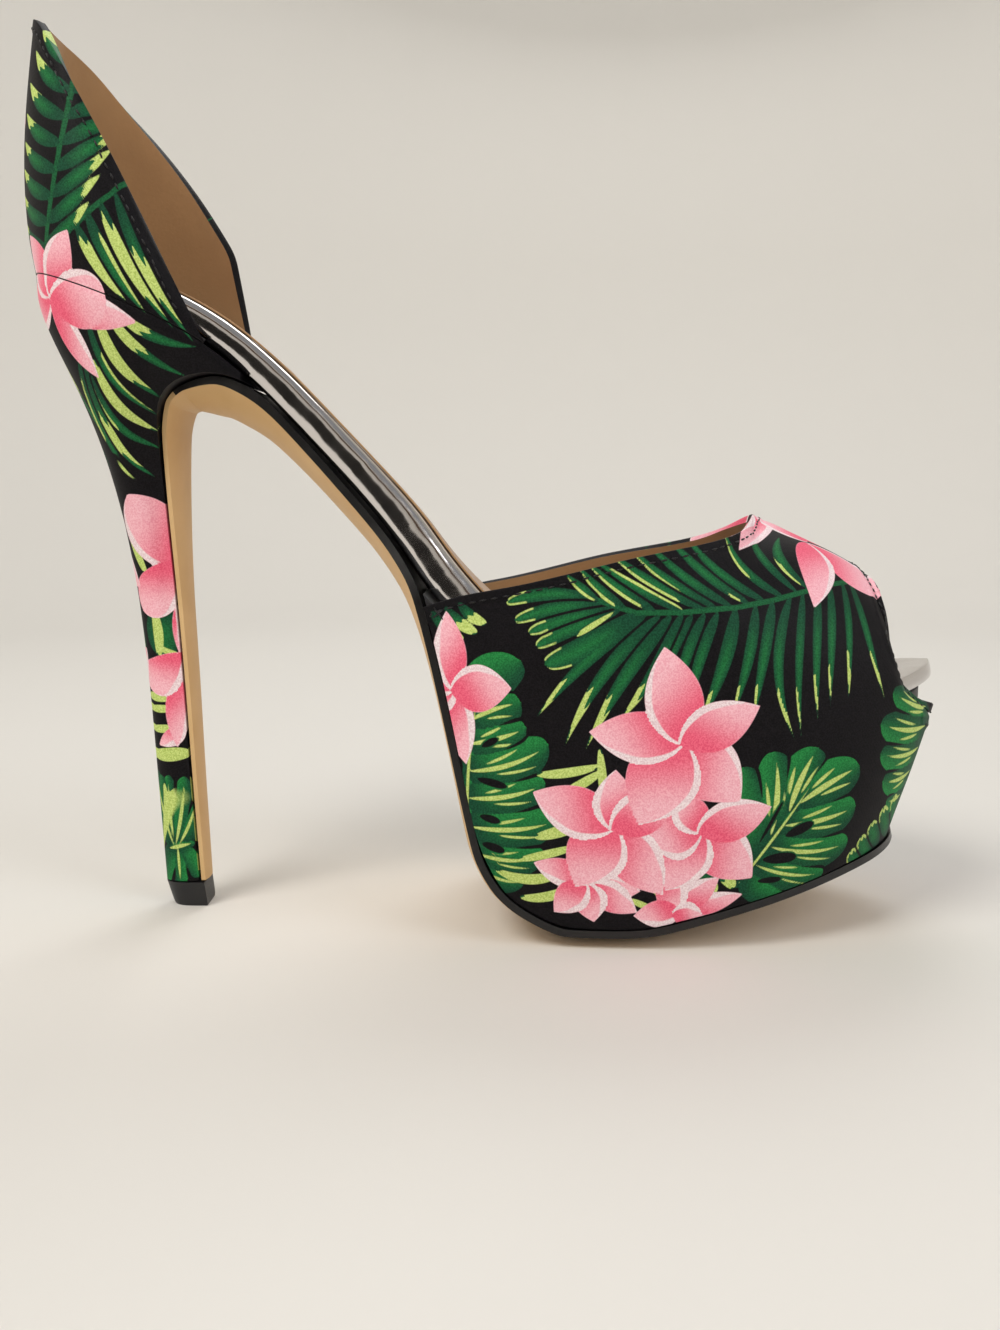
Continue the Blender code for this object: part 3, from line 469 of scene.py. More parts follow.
# A leaflet is lime from one share of its length to another, and stays green where both are past its tip.
# The lime's ends are ragged, and a round tip is outlined in lime.
Leaflet = namedtuple("Leaflet", "base tip width bow lime_from lime_to lime_edge point")
LEAFLET_HEEL = 0.5
LEAFLET_LIGHT = 0.6
LEAFLET_LIGHTENS = (0.1, 0.5)
LEAFLET_GAP = 0.6
LIME_PAST_TIP = 1.1
LIME_EDGE_FROM = 0.4
RAGGED_DEPTH = 0.05
RAGGED_WAVES = 5.0
RAGGED_LEAN = 0.08
ROUND_TIP = 0.45
TIP_OUTLINE = 0.42
TIP_OUTLINE_FROM = 0.78


def print_leaflets(skin, near, at, leaflets, gap):
    """Adds green leaflets with dark gaps between them, lime along a share of the length or one edge."""
    shapes = [blade(at, row.base, row.tip, row.width, row.bow, LEAFLET_HEEL, row.point) for row in leaflets]
    past = past_others([shape[0] for shape in shapes])
    for row, shape, past_other in zip(leaflets, shapes, past):
        outside, along, across, half = shape
        if gap:
            outside = np.maximum(outside, 0.5 * (gap + past_other))
        aside = across / np.maximum(half, LEAST_HALF)
        middle = np.clip(1.0 - np.abs(aside), 0, 1)
        print_leaf(skin, near, outside, LEAFLET_LIGHT * middle * ramp(*LEAFLET_LIGHTENS, along))
        length = math.hypot(*(row.tip - row.base))
        ragged = RAGGED_DEPTH * np.sin(RAGGED_WAVES * across) + RAGGED_LEAN * aside
        within = np.maximum(row.lime_from - along + ragged, along - row.lime_to - ragged) * length
        if row.lime_edge:
            within = np.maximum(within, LIME_EDGE_FROM * half - row.lime_edge * across)
        print_lime(skin, near, np.maximum(outside, within))
        if row.point < ROUND_TIP:
            outline = np.maximum(-outside - TIP_OUTLINE, (TIP_OUTLINE_FROM - along) * length)
            print_lime(skin, near, np.maximum(outside, outline))


Blade = namedtuple("Blade", "x z to_x to_z width bow lime_from lime_to lime_edge", defaults=(0,))


def print_blades(skin, side, spot, blades, point=0.9, gap=0.0, stretch=1.0):
    """Adds leaflets and stems, each from a place towards a place as seen from that side."""
    near, at, locate = skin.chart(side, spot, LEAF_REACH)
    leaflets = []
    for row in blades:
        base, tip = locate(row.x, row.z), locate(row.to_x, row.to_z)
        tip = base + (tip - base) * stretch
        leaflets.append(
            Leaflet(base, tip, row.width, row.bow, row.lime_from, row.lime_to, row.lime_edge, point)
        )
    print_leaflets(skin, near, at, leaflets, gap)


RIB_BLUNT = 0.02
RIB_LIGHT = 0.25
PALM_RIB_WIDTH = 1.3
PALM_RIB_POINTS = 9


def print_rib(skin, near, at, points, width):
    """Adds a rib of even width along a line of points."""
    for foot, head in zip(points, points[1:]):
        print_leaf(skin, near, blade(at, foot, head, width, 0.0, RIB_BLUNT, RIB_BLUNT)[0], RIB_LIGHT)


def print_stem(skin, side, spot, places, width):
    """Adds a rib along a line of places as seen from that side."""
    near, at, locate = skin.chart(side, spot, PALM_REACH)
    print_rib(skin, near, at, [locate(*place) for place in places], width)


def along_rib(rib, share):
    """A point on a rib that bends from its first point, by its second, to its third."""
    start, middle, end = (np.array(point, float) for point in rib)
    return start * (1 - share) ** 2 + 2 * middle * share * (1 - share) + end * share**2


Leaflets = namedtuple("Leaflets", "share angle length width bow lime point")


def print_palm(skin, side, spot, rib, rows, count, lime_edge=0):
    """Adds one side of a palm leaf: its rib and leaflets that change evenly from row to row."""
    near, at, _ = skin.chart(side, spot, PALM_REACH)
    shares = [row.share for row in rows]
    leaflets = []
    for share in np.linspace(shares[0], shares[-1], count):
        angle, length, width, bow, lime, point = (
            np.interp(share, shares, [getattr(row, name) for row in rows]) for name in Leaflets._fields[1:]
        )
        base = along_rib(rib, share)
        tip = base + turned(angle, length)
        leaflets.append(Leaflet(base, tip, width, bow, lime, LIME_PAST_TIP, lime_edge, point))
    print_leaflets(skin, near, at, leaflets, LEAFLET_GAP)
    rib_points = [along_rib(rib, share) for share in np.linspace(0.0, 1.0, PALM_RIB_POINTS)]
    print_rib(skin, near, at, rib_points, PALM_RIB_WIDTH)


# A lobe has three lime strokes, set aside by a share of its width, or one where it is narrow.
# Lobes overlap near the rib and are slit apart further out.
Lobe = namedtuple("Lobe", "x z to_x to_z width bow vein")
Hole = namedtuple("Hole", "x z to_x to_z width")
Stroke = namedtuple("Stroke", "aside start end width")
VEIN_STROKES = (
    Stroke(0.0, 0.04, 0.88, 1.0),
    Stroke(0.24, 0.26, 0.66, 0.62),
    Stroke(-0.24, 0.34, 0.8, 0.55),
)
VEIN_HEEL = 0.7
VEIN_POINT = 0.9
VEIN_MARGIN = 0.35
VEIN_CLOSE = 0.5
LOBE_HEEL = 0.3
LOBE_POINT = 0.42
LOBE_LIGHTENS = (0.05, 0.4)
NARROW_LOBE = 7.2
LOBE_SLIT = 0.9
SLIT_OPENS = (0.4, 0.85)
LOBE_OVERLAP = 0.4
OVERLAP_GROWS = (0.65, 0.3)
HOLE_HEEL = 0.6
HOLE_POINT = 0.45


def print_split_leaf(skin, side, spot, lobes, holes=()):
    """Adds a split leaf: its rib, then the lobes with their lime veins, slit apart, and holes by the rib."""
    near, at, locate = skin.chart(side, spot, LEAF_REACH)
    ends = [(locate(lobe.x, lobe.z), locate(lobe.to_x, lobe.to_z)) for lobe in lobes]
    shapes = [
        blade(at, *end, lobe.width, lobe.bow, LOBE_HEEL, LOBE_POINT) for lobe, end in zip(lobes, ends)
    ]
    past = [np.full(len(near), -FAR)] + past_others([shape[0] for shape in shapes[1:]])
    outside = np.full(len(near), FAR)
    shade = np.zeros(len(near))
    veins = []
    for lobe, (base, tip), shape, past_other in zip(lobes, ends, shapes, past):
        lobe_outside, along, across, half = shape
        slit = LOBE_SLIT * ramp(*SLIT_OPENS, along) - LOBE_OVERLAP * ramp(*OVERLAP_GROWS, along)
        lobe_outside = np.maximum(lobe_outside, 0.5 * (slit + past_other))
        aside = across / np.maximum(half, LEAST_HALF)
        lobe_shade = ramp(-1.0, 1.0, aside) * ramp(*LOBE_LIGHTENS, along)
        shade = np.where(lobe_outside < outside, lobe_shade, shade)
        outside = np.minimum(outside, lobe_outside)
        axis = tip - base
        left = np.array([-axis[1], axis[0]]) / math.hypot(*axis)
        strokes = VEIN_STROKES[: 1 if lobe.width < NARROW_LOBE else None] if lobe.vein else ()
        for stroke in strokes:
            vein_ends = []
            for share, spread in ((stroke.start, VEIN_CLOSE), (stroke.end, 1.0)):
                step = stroke.aside * spread * lobe.width + bend(lobe.bow, share)
                vein_ends.append(base + axis * share + left * step)
            bow = lobe.bow * (stroke.end - stroke.start) ** 2
            width = lobe.vein * stroke.width
            veins.append(blade(at, *vein_ends, width, bow, VEIN_HEEL, VEIN_POINT)[0])
    for hole in holes:
        start, end = locate(hole.x, hole.z), locate(hole.to_x, hole.to_z)
        outside = np.maximum(outside, -blade(at, start, end, hole.width, 0.0, HOLE_HEEL, HOLE_POINT)[0])
    print_leaf(skin, near, outside, shade)
    for vein in veins:
        print_lime(skin, near, np.maximum(vein, outside + VEIN_MARGIN))


def write_print(mesh, skin, first=0):
    """Keeps the print on the mesh's points, for the satin's shader to read."""
    last = first + len(mesh.vertices)
    for layer in PRINT_LAYERS:
        values = mesh.attributes.new(layer, "FLOAT", "POINT")
        values.data.foreach_set("value", getattr(skin, layer)[first:last].astype(np.float32))


# Printed satin: smooth weft floats with a soft sheen; the dots of the print show as fine speckle.
# The weave is drawn at twice its real thread spacing, since the real one is too fine to show.
# A wave texture of scale 1 repeats every tenth of pi.
WAVE_REPEAT = 0.31416
THREAD = 0.3 * MM
THREAD_DRAWN = 2 * THREAD
SPECKLE = 0.34 * MM
EDGE_BLUR = 0.13
RIM_BLUR = 0.22
printed_satin, tree, shader, place = new_finish("printed_satin")
speckle = node(tree, "ShaderNodeTexNoise", {"Vector": place, "Scale": 1 / SPECKLE, "Detail": 1.0})
speck = node(
    tree, "ShaderNodeMapRange",
    {"Value": speckle.outputs["Fac"], "From Min": 0.36, "From Max": 0.64},
).outputs["Result"]
layers = {
    layer: node(tree, "ShaderNodeAttribute", attribute_name=layer).outputs["Fac"] for layer in PRINT_LAYERS
}
Tone = namedtuple("Tone", "layer blur shade dark bright shade_dark shade_bright")
TONES = (
    Tone("leaf", EDGE_BLUR, "light", "#0C3825", "#164E35", "#1A6E35", "#288A44"),
    Tone("lime", EDGE_BLUR, None, "#A6BC5C", "#CBDB84", None, None),
    Tone("petal", EDGE_BLUR, "blush", "#EAA3B1", "#F5C1CA", "#E0506E", "#EE6C86"),
    Tone("rim", RIM_BLUR, None, "#DFC3C9", "#F3E4E6", None, None),
)
colour = node(
    tree, "ShaderNodeMix",
    {0: speck, 6: paint("#060507"), 7: paint("#141115")}, data_type="RGBA",
).outputs[2]
masks = {}
for tone in TONES:
    ink = node(
        tree, "ShaderNodeMix",
        {0: speck, 6: paint(tone.dark), 7: paint(tone.bright)}, data_type="RGBA",
    ).outputs[2]
    if tone.shade:
        second_ink = node(
            tree, "ShaderNodeMix",
            {0: speck, 6: paint(tone.shade_dark), 7: paint(tone.shade_bright)}, data_type="RGBA",
        ).outputs[2]
        ink = node(
            tree, "ShaderNodeMix", {0: layers[tone.shade], 6: ink, 7: second_ink}, data_type="RGBA"
        ).outputs[2]
    masks[tone.layer] = node(
        tree, "ShaderNodeMapRange",
        {"Value": layers[tone.layer], "From Min": tone.blur, "From Max": -tone.blur},
        interpolation_type="SMOOTHSTEP",
    ).outputs["Result"]
    if tone.layer == "rim":
        masks["rim"] = node(
            tree, "ShaderNodeMath", {0: masks["rim"], 1: masks["petal"]}, operation="MULTIPLY"
        ).outputs[0]
    colour = node(
        tree, "ShaderNodeMix", {0: masks[tone.layer], 6: colour, 7: ink}, data_type="RGBA"
    ).outputs[2]
warp = node(
    tree, "ShaderNodeTexWave",
    {"Vector": place, "Scale": WAVE_REPEAT / THREAD_DRAWN, "Distortion": 0.6, "Detail": 1.0},
    bands_direction="DIAGONAL",
)
floats = node(
    tree, "ShaderNodeBump",
    {"Height": warp.outputs["Fac"], "Strength": 0.25, "Distance": 0.03 * MM},
).outputs["Normal"]
nubs = node(
    tree, "ShaderNodeBump",
    {"Height": speckle.outputs["Fac"], "Strength": 0.3, "Distance": 0.04 * MM, "Normal": floats},
)
tree.links.new(colour, shader.inputs["Base Color"])
tree.links.new(nubs.outputs["Normal"], shader.inputs["Normal"])
shader.inputs["Roughness"].default_value = 0.55
shader.inputs["Specular IOR Level"].default_value = 0.13


def refine(skin, longest, part=lambda edge: True):
    """Halves the long edges of a skin, or of a part of it, until its points lie close enough to print."""
    while True:
        long_edges = [edge for edge in skin.edges if edge.calc_length() > longest and part(edge)]
        if not long_edges:
            return
        bmesh.ops.subdivide_edges(skin, edges=long_edges, cuts=1, use_grid_fill=True)


def satin_and_lining(node_name, rounding, longest):
    """The outer skin of a wall, finely divided for its print, and its lining."""
    cage = cad_cage(node_name)
    for face in smooth_sheets(cage)[1]:
        face.material_index = 1
    satin = rounded(cage, rounding, VAMP_LEVELS)
    lining = satin.copy()
    outer_faces = [face for face in lining.faces if face.material_index == 0]
    bmesh.ops.delete(lining, geom=outer_faces, context="FACES")
    inner_faces = [face for face in satin.faces if face.material_index == 1]
    bmesh.ops.delete(satin, geom=inner_faces, context="FACES")
    for face in lining.faces:
        face.material_index = 0
    refine(satin, longest)
    return satin, lining


def open_edges(skin):
    """The skin's open edges as rows of vertices in order."""
    waiting = {vert for edge in skin.edges if edge.is_boundary for vert in edge.verts}
    rows = []
    for vert in skin.verts:
        if vert not in waiting:
            continue
        row = []
        while vert:
            row.append(vert)
            waiting.remove(vert)
            ahead = [edge.other_vert(vert) for edge in vert.link_edges if edge.is_boundary]
            vert = next((other for other in ahead if other in waiting), None)
        rows.append(row)
    return rows


# The fold is charted in mm from the edge: it rises behind the edge and falls again at its end
FOLD_WIDTH = 2.9
FOLD_HEIGHT = 0.2
FOLD_RISES = (0.2, 1.4)
FOLD_END_OUT = 0.45
FOLD_END_IN = 0.25
FOLD_NEAR = 1.0
SEAM_INSET = 0.4
SEAM_BAND = 0.3


def turn_edge(skin, edge_rows, width, height):
    """Lifts the satin's folded edge a little above the rest, and returns the lines along the fold's end."""
    places = [vert.co.copy() for row in edge_rows for vert in row]
    finder = KDTree(len(places))
    for number, point in enumerate(places):
        finder.insert(point, number)
    finder.balance()
    skin.normal_update()
    lifts = []
    fold_end = []
    for vert in skin.verts:
        distance = finder.find(vert.co)[2] / MM
        if distance < width + FOLD_NEAR:
            share = float(ramp(width + FOLD_END_OUT, width - FOLD_END_IN, distance))
            share *= float(ramp(*FOLD_RISES, distance))
            lifts.append((vert, vert.normal * (share * height * MM)))
            if abs(distance - width + SEAM_INSET) < SEAM_BAND:
                fold_end.append(vert)
    for vert, lift in lifts:
        vert.co += lift
    end_finder = KDTree(len(fold_end))
    for number, vert in enumerate(fold_end):
        end_finder.insert(vert.co, number)
    end_finder.balance()
    lines = []
    for row in edge_rows:
        line = []
        for vert in row:
            found = end_finder.find_range(vert.co, (width + SEAM_BAND) * MM)
            close = [fold_end[number] for _, number, _ in found]
            if close:
                place = sum((other.co for other in close), Vector()) / len(close)
                line.append((place, sum((other.normal for other in close), Vector()).normalized()))
        lines.append(line)
    return lines


STITCH_FLATNESS = 2.4
STITCH_LIFT = 0.12


def stitch(shape, place, ahead, normal, length, thick):
    """Adds one stitch, sunk a little into the satin."""
    axes = Matrix((ahead, normal.cross(ahead), normal)).transposed().to_4x4()
    size = Matrix.Diagonal((length / 2, thick / 2, thick / STITCH_FLATNESS, 1.0))
    bmesh.ops.create_icosphere(
        shape, subdivisions=1, radius=1.0,
        matrix=Matrix.Translation(place + normal * thick * STITCH_LIFT) @ axes @ size,
    )


def sew(shape, line, pitch, length, thick):
    """Adds a row of stitches along a line of places and normals."""
    gone = 0.0
    for (place, normal), (further, _) in zip(line, line[1:]):
        step = further - place
        gone += step.length
        if step.length > pitch or gone < pitch:
            gone = min(gone, pitch)
            continue
        gone -= pitch
        stitch(shape, place, step.normalized(), normal, length, thick)


vamp, lining = satin_and_lining("upper_vamp", VAMP_ROUND, VAMP_POINTS)
refine(vamp, OUTER_POINTS, lambda edge: edge.verts[0].co.y < 0.0)
vamp.verts.index_update()
vamp_lining = as_piece("vamp_lining", lining, [tan_suede])
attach(vamp_lining, "root")
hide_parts("upper_vamp")

TOP_LINE_LOW = 74.5 * MM
PEEP_LOW = 45.0 * MM
PEEP_START = 57.0 * MM
vamp_edges = [
    [vert for vert in row if vert.co.z > TOP_LINE_LOW or (vert.co.x > PEEP_START and vert.co.z > PEEP_LOW)]
    for row in open_edges(vamp)
]
vamp_seams = turn_edge(vamp, vamp_edges, FOLD_WIDTH, FOLD_HEIGHT)
vamp_print = Print(vamp)

# Palm leaf over the top of the outer side: rounded leaflets at its left end,
# long ones under the rib and short ones above it
PALM_SPOT = (20.0, 70.0)
PALM_RIB = (
    (56.5, 80.7), (50.4, 80.3), (44.6, 79.2), (36.5, 77.5),
    (28.0, 76.2), (16.0, 75.3), (6.0, 75.2), (-2.0, 77.8),
)
OUTER_RIB_WIDTH = 1.2
SHORT_STRETCH = 1.3
ROUND_LEAFLETS = (
    Blade(-1.9, 77.8, -21.5, 77.2, 2.8, -1.6, 1.1, 1.2),
    Blade(-0.2, 77.2, -19.8, 73.4, 3.0, -0.9, 1.1, 1.2),
    Blade(1.4, 76.4, -16.8, 70.9, 3.0, -0.4, 1.1, 1.2),
    Blade(2.6, 75.8, -15.2, 68.0, 3.2, -0.4, 1.1, 1.2),
    Blade(5.8, 75.1, -13.2, 64.0, 5.0, 1.0, 1.1, 1.2),
)
LONG_LEAFLETS = (
    Blade(8.0, 74.8, -15.2, 52.4, 2.9, -1.4, 0.74, 1.0),
    Blade(11.0, 74.6, -9.0, 46.4, 3.0, -2.3, 0.66, 1.0),
    Blade(13.4, 74.6, -4.5, 45.8, 3.2, -1.3, 0.68, 1.0),
    Blade(15.8, 74.8, 2.6, 52.0, 3.1, 1.0, 0.70, 1.0),
    Blade(18.0, 74.8, 9.0, 52.6, 2.4, -1.2, 0.72, 1.0),
    Blade(20.7, 75.0, 14.4, 53.0, 2.4, -1.4, 0.75, 1.0),
    Blade(23.6, 75.2, 17.0, 52.0, 2.5, -1.2, 0.78, 1.0),
    Blade(27.6, 75.8, 19.8, 51.6, 3.1, 0.7, 0.78, 1.0),
    Blade(32.2, 76.4, 26.6, 53.0, 2.5, 0.4, 0.80, 1.0),
    Blade(36.2, 77.2, 31.4, 52.6, 2.6, -0.6, 0.80, 1.0),
    Blade(40.5, 78.2, 40.8, 47.6, 2.5, -4.4, 0.72, 1.0),
    Blade(43.6, 78.8, 42.2, 48.2, 2.0, -1.9, 0.75, 1.0),
    Blade(47.4, 79.4, 45.9, 51.8, 2.2, -1.5, 0.74, 1.0),
    Blade(50.8, 80.2, 48.8, 54.6, 2.2, -1.1, 0.76, 1.0),
    Blade(54.4, 80.6, 53.2, 55.6, 1.9, -0.8, 0.68, 1.0),
    Blade(56.6, 80.6, 62.4, 55.4, 2.0, -1.9, 0.68, 1.0),
)
SHORT_LEAFLETS = (
    Blade(-6.8, 70.2, -0.2, 74.4, 1.2, 0.0, 0.00, 1.0),
    Blade(-1.9, 77.8, -7.2, 82.0, 2.0, 0.2, 0.00, 0.9, 1),
    Blade(3.6, 76.2, -3.8, 82.8, 2.2, 0.6, 0.10, 0.9, 1),
    Blade(10.0, 75.6, -1.2, 83.6, 2.2, 0.5, 0.10, 0.9, 1),
    Blade(16.0, 75.6, 1.4, 84.0, 2.2, 0.6, 0.05, 0.9, -1),
    Blade(20.7, 76.0, 4.8, 85.4, 2.4, 0.9, 0.20, 0.95, 1),
    Blade(23.2, 76.3, 8.6, 86.4, 2.2, 1.1, 0.30, 0.95, 1),
    Blade(26.6, 76.5, 12.4, 87.2, 2.2, 1.0, 1.10, 1.2),
    Blade(30.6, 77.0, 17.0, 88.0, 2.4, 0.9, 0.00, 0.16, 1),
    Blade(34.2, 77.5, 20.8, 88.4, 2.4, 1.4, 1.10, 1.2),
    Blade(38.5, 78.3, 29.0, 89.0, 2.5, 2.4, 0.35, 0.9, 1),
    Blade(42.2, 79.0, 36.6, 91.8, 2.6, 5.0, 1.10, 1.2),
    Blade(45.0, 79.7, 42.4, 88.6, 3.2, 4.2, 0.00, 0.4, 1),
)
print_blades(vamp_print, "outer", PALM_SPOT, ROUND_LEAFLETS, point=0.3, gap=LEAFLET_GAP)
print_blades(vamp_print, "outer", PALM_SPOT, LONG_LEAFLETS, point=1.0, gap=LEAFLET_GAP)
print_blades(
    vamp_print, "outer", PALM_SPOT, SHORT_LEAFLETS, point=0.8, gap=LEAFLET_GAP, stretch=SHORT_STRETCH
)
print_stem(vamp_print, "outer", PALM_SPOT, PALM_RIB, OUTER_RIB_WIDTH)

# Split leaves of the outer side: at the back edge, under the toe and round the toe's front
BACK_LEAF = (
    Lobe(-28.0, 56.0, -29.5, 18.0, 2.6, -1.4, 0.6),
    Lobe(-29.0, 55.0, -18.6, 64.6, 10.9, 1.5, 0.0),
    Lobe(-30.0, 51.0, -18.6, 55.6, 10.9, 0.6, 1.0),
    Lobe(-30.4, 46.0, -17.4, 50.0, 9.8, -0.6, 1.1),
    Lobe(-30.8, 40.0, -12.6, 46.4, 10.9, -1.6, 1.1),
    Lobe(-31.0, 34.0, -13.2, 37.8, 10.3, -1.4, 1.1),
    Lobe(-30.6, 27.5, -10.4, 29.6, 10.3, -1.5, 1.1),
    Lobe(-29.6, 21.5, -13.2, 21.4, 8.6, -1.6, 0.9),
    Lobe(-27.5, 17.0, -17.6, 15.0, 6.3, -1.0, 0.7),
)
BACK_LEAF_HOLES = (
    Hole(-27.0, 45.6, -23.5, 47.5, 1.6),
    Hole(-28.0, 38.4, -21.5, 36.8, 1.8),
    Hole(-27.5, 30.0, -23.0, 28.8, 1.8),
    Hole(-27.0, 23.6, -22.0, 22.0, 2.0),
)
print_split_leaf(vamp_print, "outer", (-24, 38), BACK_LEAF, BACK_LEAF_HOLES)
TOE_LEAF = (
    Lobe(28.7, 14.5, 46.8, 40.0, 2.2, 0.0, 0.6),
    Lobe(33.0, 21.0, 29.6, 42.0, 10.0, -1.0, 0.0),
    Lobe(36.0, 25.5, 36.4, 45.2, 11.2, -1.0, 1.3),
    Lobe(40.0, 31.0, 46.2, 45.6, 11.2, 0.8, 1.4),
    Lobe(42.0, 33.0, 56.6, 40.6, 11.2, 0.6, 1.4),
    Lobe(38.5, 28.5, 56.4, 31.2, 11.2, -0.8, 1.2),
    Lobe(35.5, 24.0, 55.2, 22.6, 10.0, -1.4, 1.0),
    Lobe(32.5, 20.0, 50.2, 15.6, 8.8, -1.2, 0.8),
    Lobe(30.0, 16.5, 41.0, 11.0, 6.9, -0.6, 0.0),
)
TOE_LEAF_HOLES = (
    Hole(39.6, 26.0, 46.0, 28.6, 2.4),
    Hole(34.6, 20.8, 42.4, 21.0, 2.6),
    Hole(33.6, 24.6, 38.6, 34.0, 0.9),
    Hole(28.6, 16.8, 30.6, 17.0, 1.4),
    Hole(33.6, 15.8, 39.2, 16.0, 1.5),
)
print_split_leaf(vamp_print, "outer", (40, 28), TOE_LEAF, TOE_LEAF_HOLES)
FRONT_LEAF = (
    Lobe(78.0, 51.0, 70.0, 27.0, 2.6, 0.6, 0.0),
    Lobe(77.5, 51.0, 64.8, 56.4, 8.0, 1.0, 1.1),
    Lobe(76.8, 47.0, 61.8, 49.6, 9.8, 1.0, 1.2),
    Lobe(75.4, 42.0, 62.2, 42.6, 9.2, 1.0, 1.1),
    Lobe(73.4, 36.5, 63.6, 36.0, 8.6, 0.8, 1.1),
    Lobe(71.0, 31.0, 65.6, 30.6, 6.3, 0.6, 0.8),
)
print_split_leaf(vamp_print, "outer", (68, 40), FRONT_LEAF)
TOE_PALM = (
    Blade(60.5, 15.0, 56.2, 20.0, 4.4, 0.5, 0.9, 1.0),
    Blade(63.5, 16.5, 58.8, 23.0, 4.6, 0.6, 0.9, 1.0),
    Blade(66.5, 18.5, 61.6, 26.0, 4.6, 0.6, 0.9, 1.0),
    Blade(69.0, 20.5, 64.6, 29.0, 4.6, 0.6, 0.9, 1.0),
    Blade(71.0, 22.0, 68.0, 31.0, 4.6, 0.6, 0.9, 1.0),
)
print_blades(vamp_print, "outer", (63, 23), TOE_PALM, point=0.32, gap=LEAFLET_GAP)

# Lime stems and leaflets among the flowers of the outer side
FLOWER_STEMS = (
    Blade(-1.5, 46.0, -0.2, 33.0, 1.9, 0.0, 0.0, 1.0),
    Blade(-1.4, 42.2, -15.0, 39.8, 2.1, 0.5, 0.0, 1.0),
    Blade(-1.0, 41.0, -9.5, 35.8, 2.1, 0.3, 0.0, 1.0),
    Blade(-4.0, 29.6, -15.4, 25.6, 2.6, 0.3, 0.0, 1.0),
    Blade(-6.0, 24.0, -19.0, 20.2, 1.9, 0.2, 0.0, 1.0),
    Blade(-8.0, 18.6, -24.0, 17.4, 2.4, 2.2, 0.0, 1.0),
    Blade(-6.0, 15.2, -18.5, 11.3, 2.3, 1.2, 0.0, 1.0),
    Blade(2.0, 22.0, 3.5, 14.0, 1.7, 0.0, 0.0, 1.0),
    Blade(9.0, 16.5, 16.0, 10.0, 2.6, 0.2, 0.0, 1.0),
    Blade(5.0, 12.0, 12.0, 8.6, 1.5, 0.2, 0.0, 1.0),
    Blade(24.0, 19.0, 28.5, 14.5, 3.0, 0.4, 0.6, 1.0),
    Blade(20.0, 18.5, 24.5, 13.5, 3.0, 0.4, 0.6, 1.0),
    Blade(-38.0, 75.0, -31.0, 69.0, 2.6, -0.6, 0.5, 1.0),
    Blade(-35.0, 76.0, -28.0, 70.5, 2.6, -0.6, 0.5, 1.0),
    Blade(-32.0, 77.0, -26.0, 72.5, 2.4, -0.6, 0.5, 1.0),
)
print_blades(vamp_print, "outer", (0.0, 30.0), FLOWER_STEMS, point=0.45)

# Flowers of the outer side, from the lowest to the one that lies on top.
# A whole flower's petals are each an angle, a length and a width.
LOW_RIGHT_PETALS = (
    Petal(15.5, 9.0, 30.5, 13.0, 5.0),
    Petal(15.5, 9.5, 25.0, 17.0, 6.0),
    Petal(14.0, 19.0, 15.5, 7.0, 7.0),
    Petal(17.0, 9.0, 6.5, 8.0, 6.5),
    Petal(15.0, 9.0, 22.0, 7.6, 6.0),
)
print_petals(vamp_print, "outer", (16, 12), LOW_RIGHT_PETALS)
LOW_LEFT_PETALS = (
    Petal(-3.5, 16.0, -15.6, 19.8, 6.5),
    Petal(-3.5, 15.5, 7.8, 13.8, 6.5),
    Petal(-3.5, 15.5, 7.2, 8.8, 7.0),
    Petal(-3.8, 15.5, -2.2, 6.4, 7.5),
    Petal(-3.8, 15.5, -11.0, 8.4, 7.5),
)
print_petals(vamp_print, "outer", (-3, 14), LOW_LEFT_PETALS)
RIGHT_FLOWER = ((18, 16.5, 9.5), (317, 16.5, 12), (243, 15.5, 12), (187, 12, 12), (120, 10, 8))
LEFT_FLOWER = ((157, 19, 11.5), (240, 16, 13.5), (306, 19, 11.5), (28, 16, 10), (88, 13, 9))
TOP_FLOWER = ((101, 21, 12.5), (174, 20, 11.5), (244, 20.5, 16), (315, 18.5, 14), (25, 18.5, 10.5))
EDGE_FLOWER = ((96, 17, 7.5), (2, 13, 10.5), (280, 17, 7), (150, 10, 8), (215, 10, 7))
print_flower(vamp_print, "outer", (20.4, 27.8), RIGHT_FLOWER)
print_flower(vamp_print, "outer", (1.5, 28.4), LEFT_FLOWER)
print_flower(vamp_print, "outer", (16.0, 47.5), TOP_FLOWER)
print_flower(vamp_print, "outer", (-33.2, 58.3), EDGE_FLOWER)

# Flower on the ridge between throat and open toe, with petals of another one on the rolled edge of the throat
THROAT_PETALS = (
    Petal(41.0, 3.0, 29.8, -25.2, 7.0),
    Petal(37.2, -2.0, 28.0, -24.4, 4.4),
    Petal(36.8, 2.0, 26.5, 24.6, 9.0),
)
RIDGE_PETALS = (
    Petal(49.4, -4.0, 52.5, 16.0, 11.0),
    Petal(49.4, -4.0, 40.0, 15.0, 11.0),
    Petal(49.6, -6.5, 65.0, -14.0, 17.0, 0.6),
    Petal(49.2, -7.0, 45.9, -29.0, 10.0),
    Petal(49.6, -6.0, 36.8, 0.0, 13.0),
)
print_petals(vamp_print, "top", (38.0, -4.0), THROAT_PETALS)
print_petals(vamp_print, "top", (48.0, -8.0), RIDGE_PETALS)


def swung(petals, turn, scale=1.0):
    """The same flower, turned on the cloth."""
    return tuple(((angle + turn) % 360, length * scale, width * scale) for angle, length, width in petals)


def mirrored(rows):
    """The same leaflets, seen from the other side."""
    return tuple(row._replace(angle=180 - row.angle, bow=-row.bow) for row in rows)


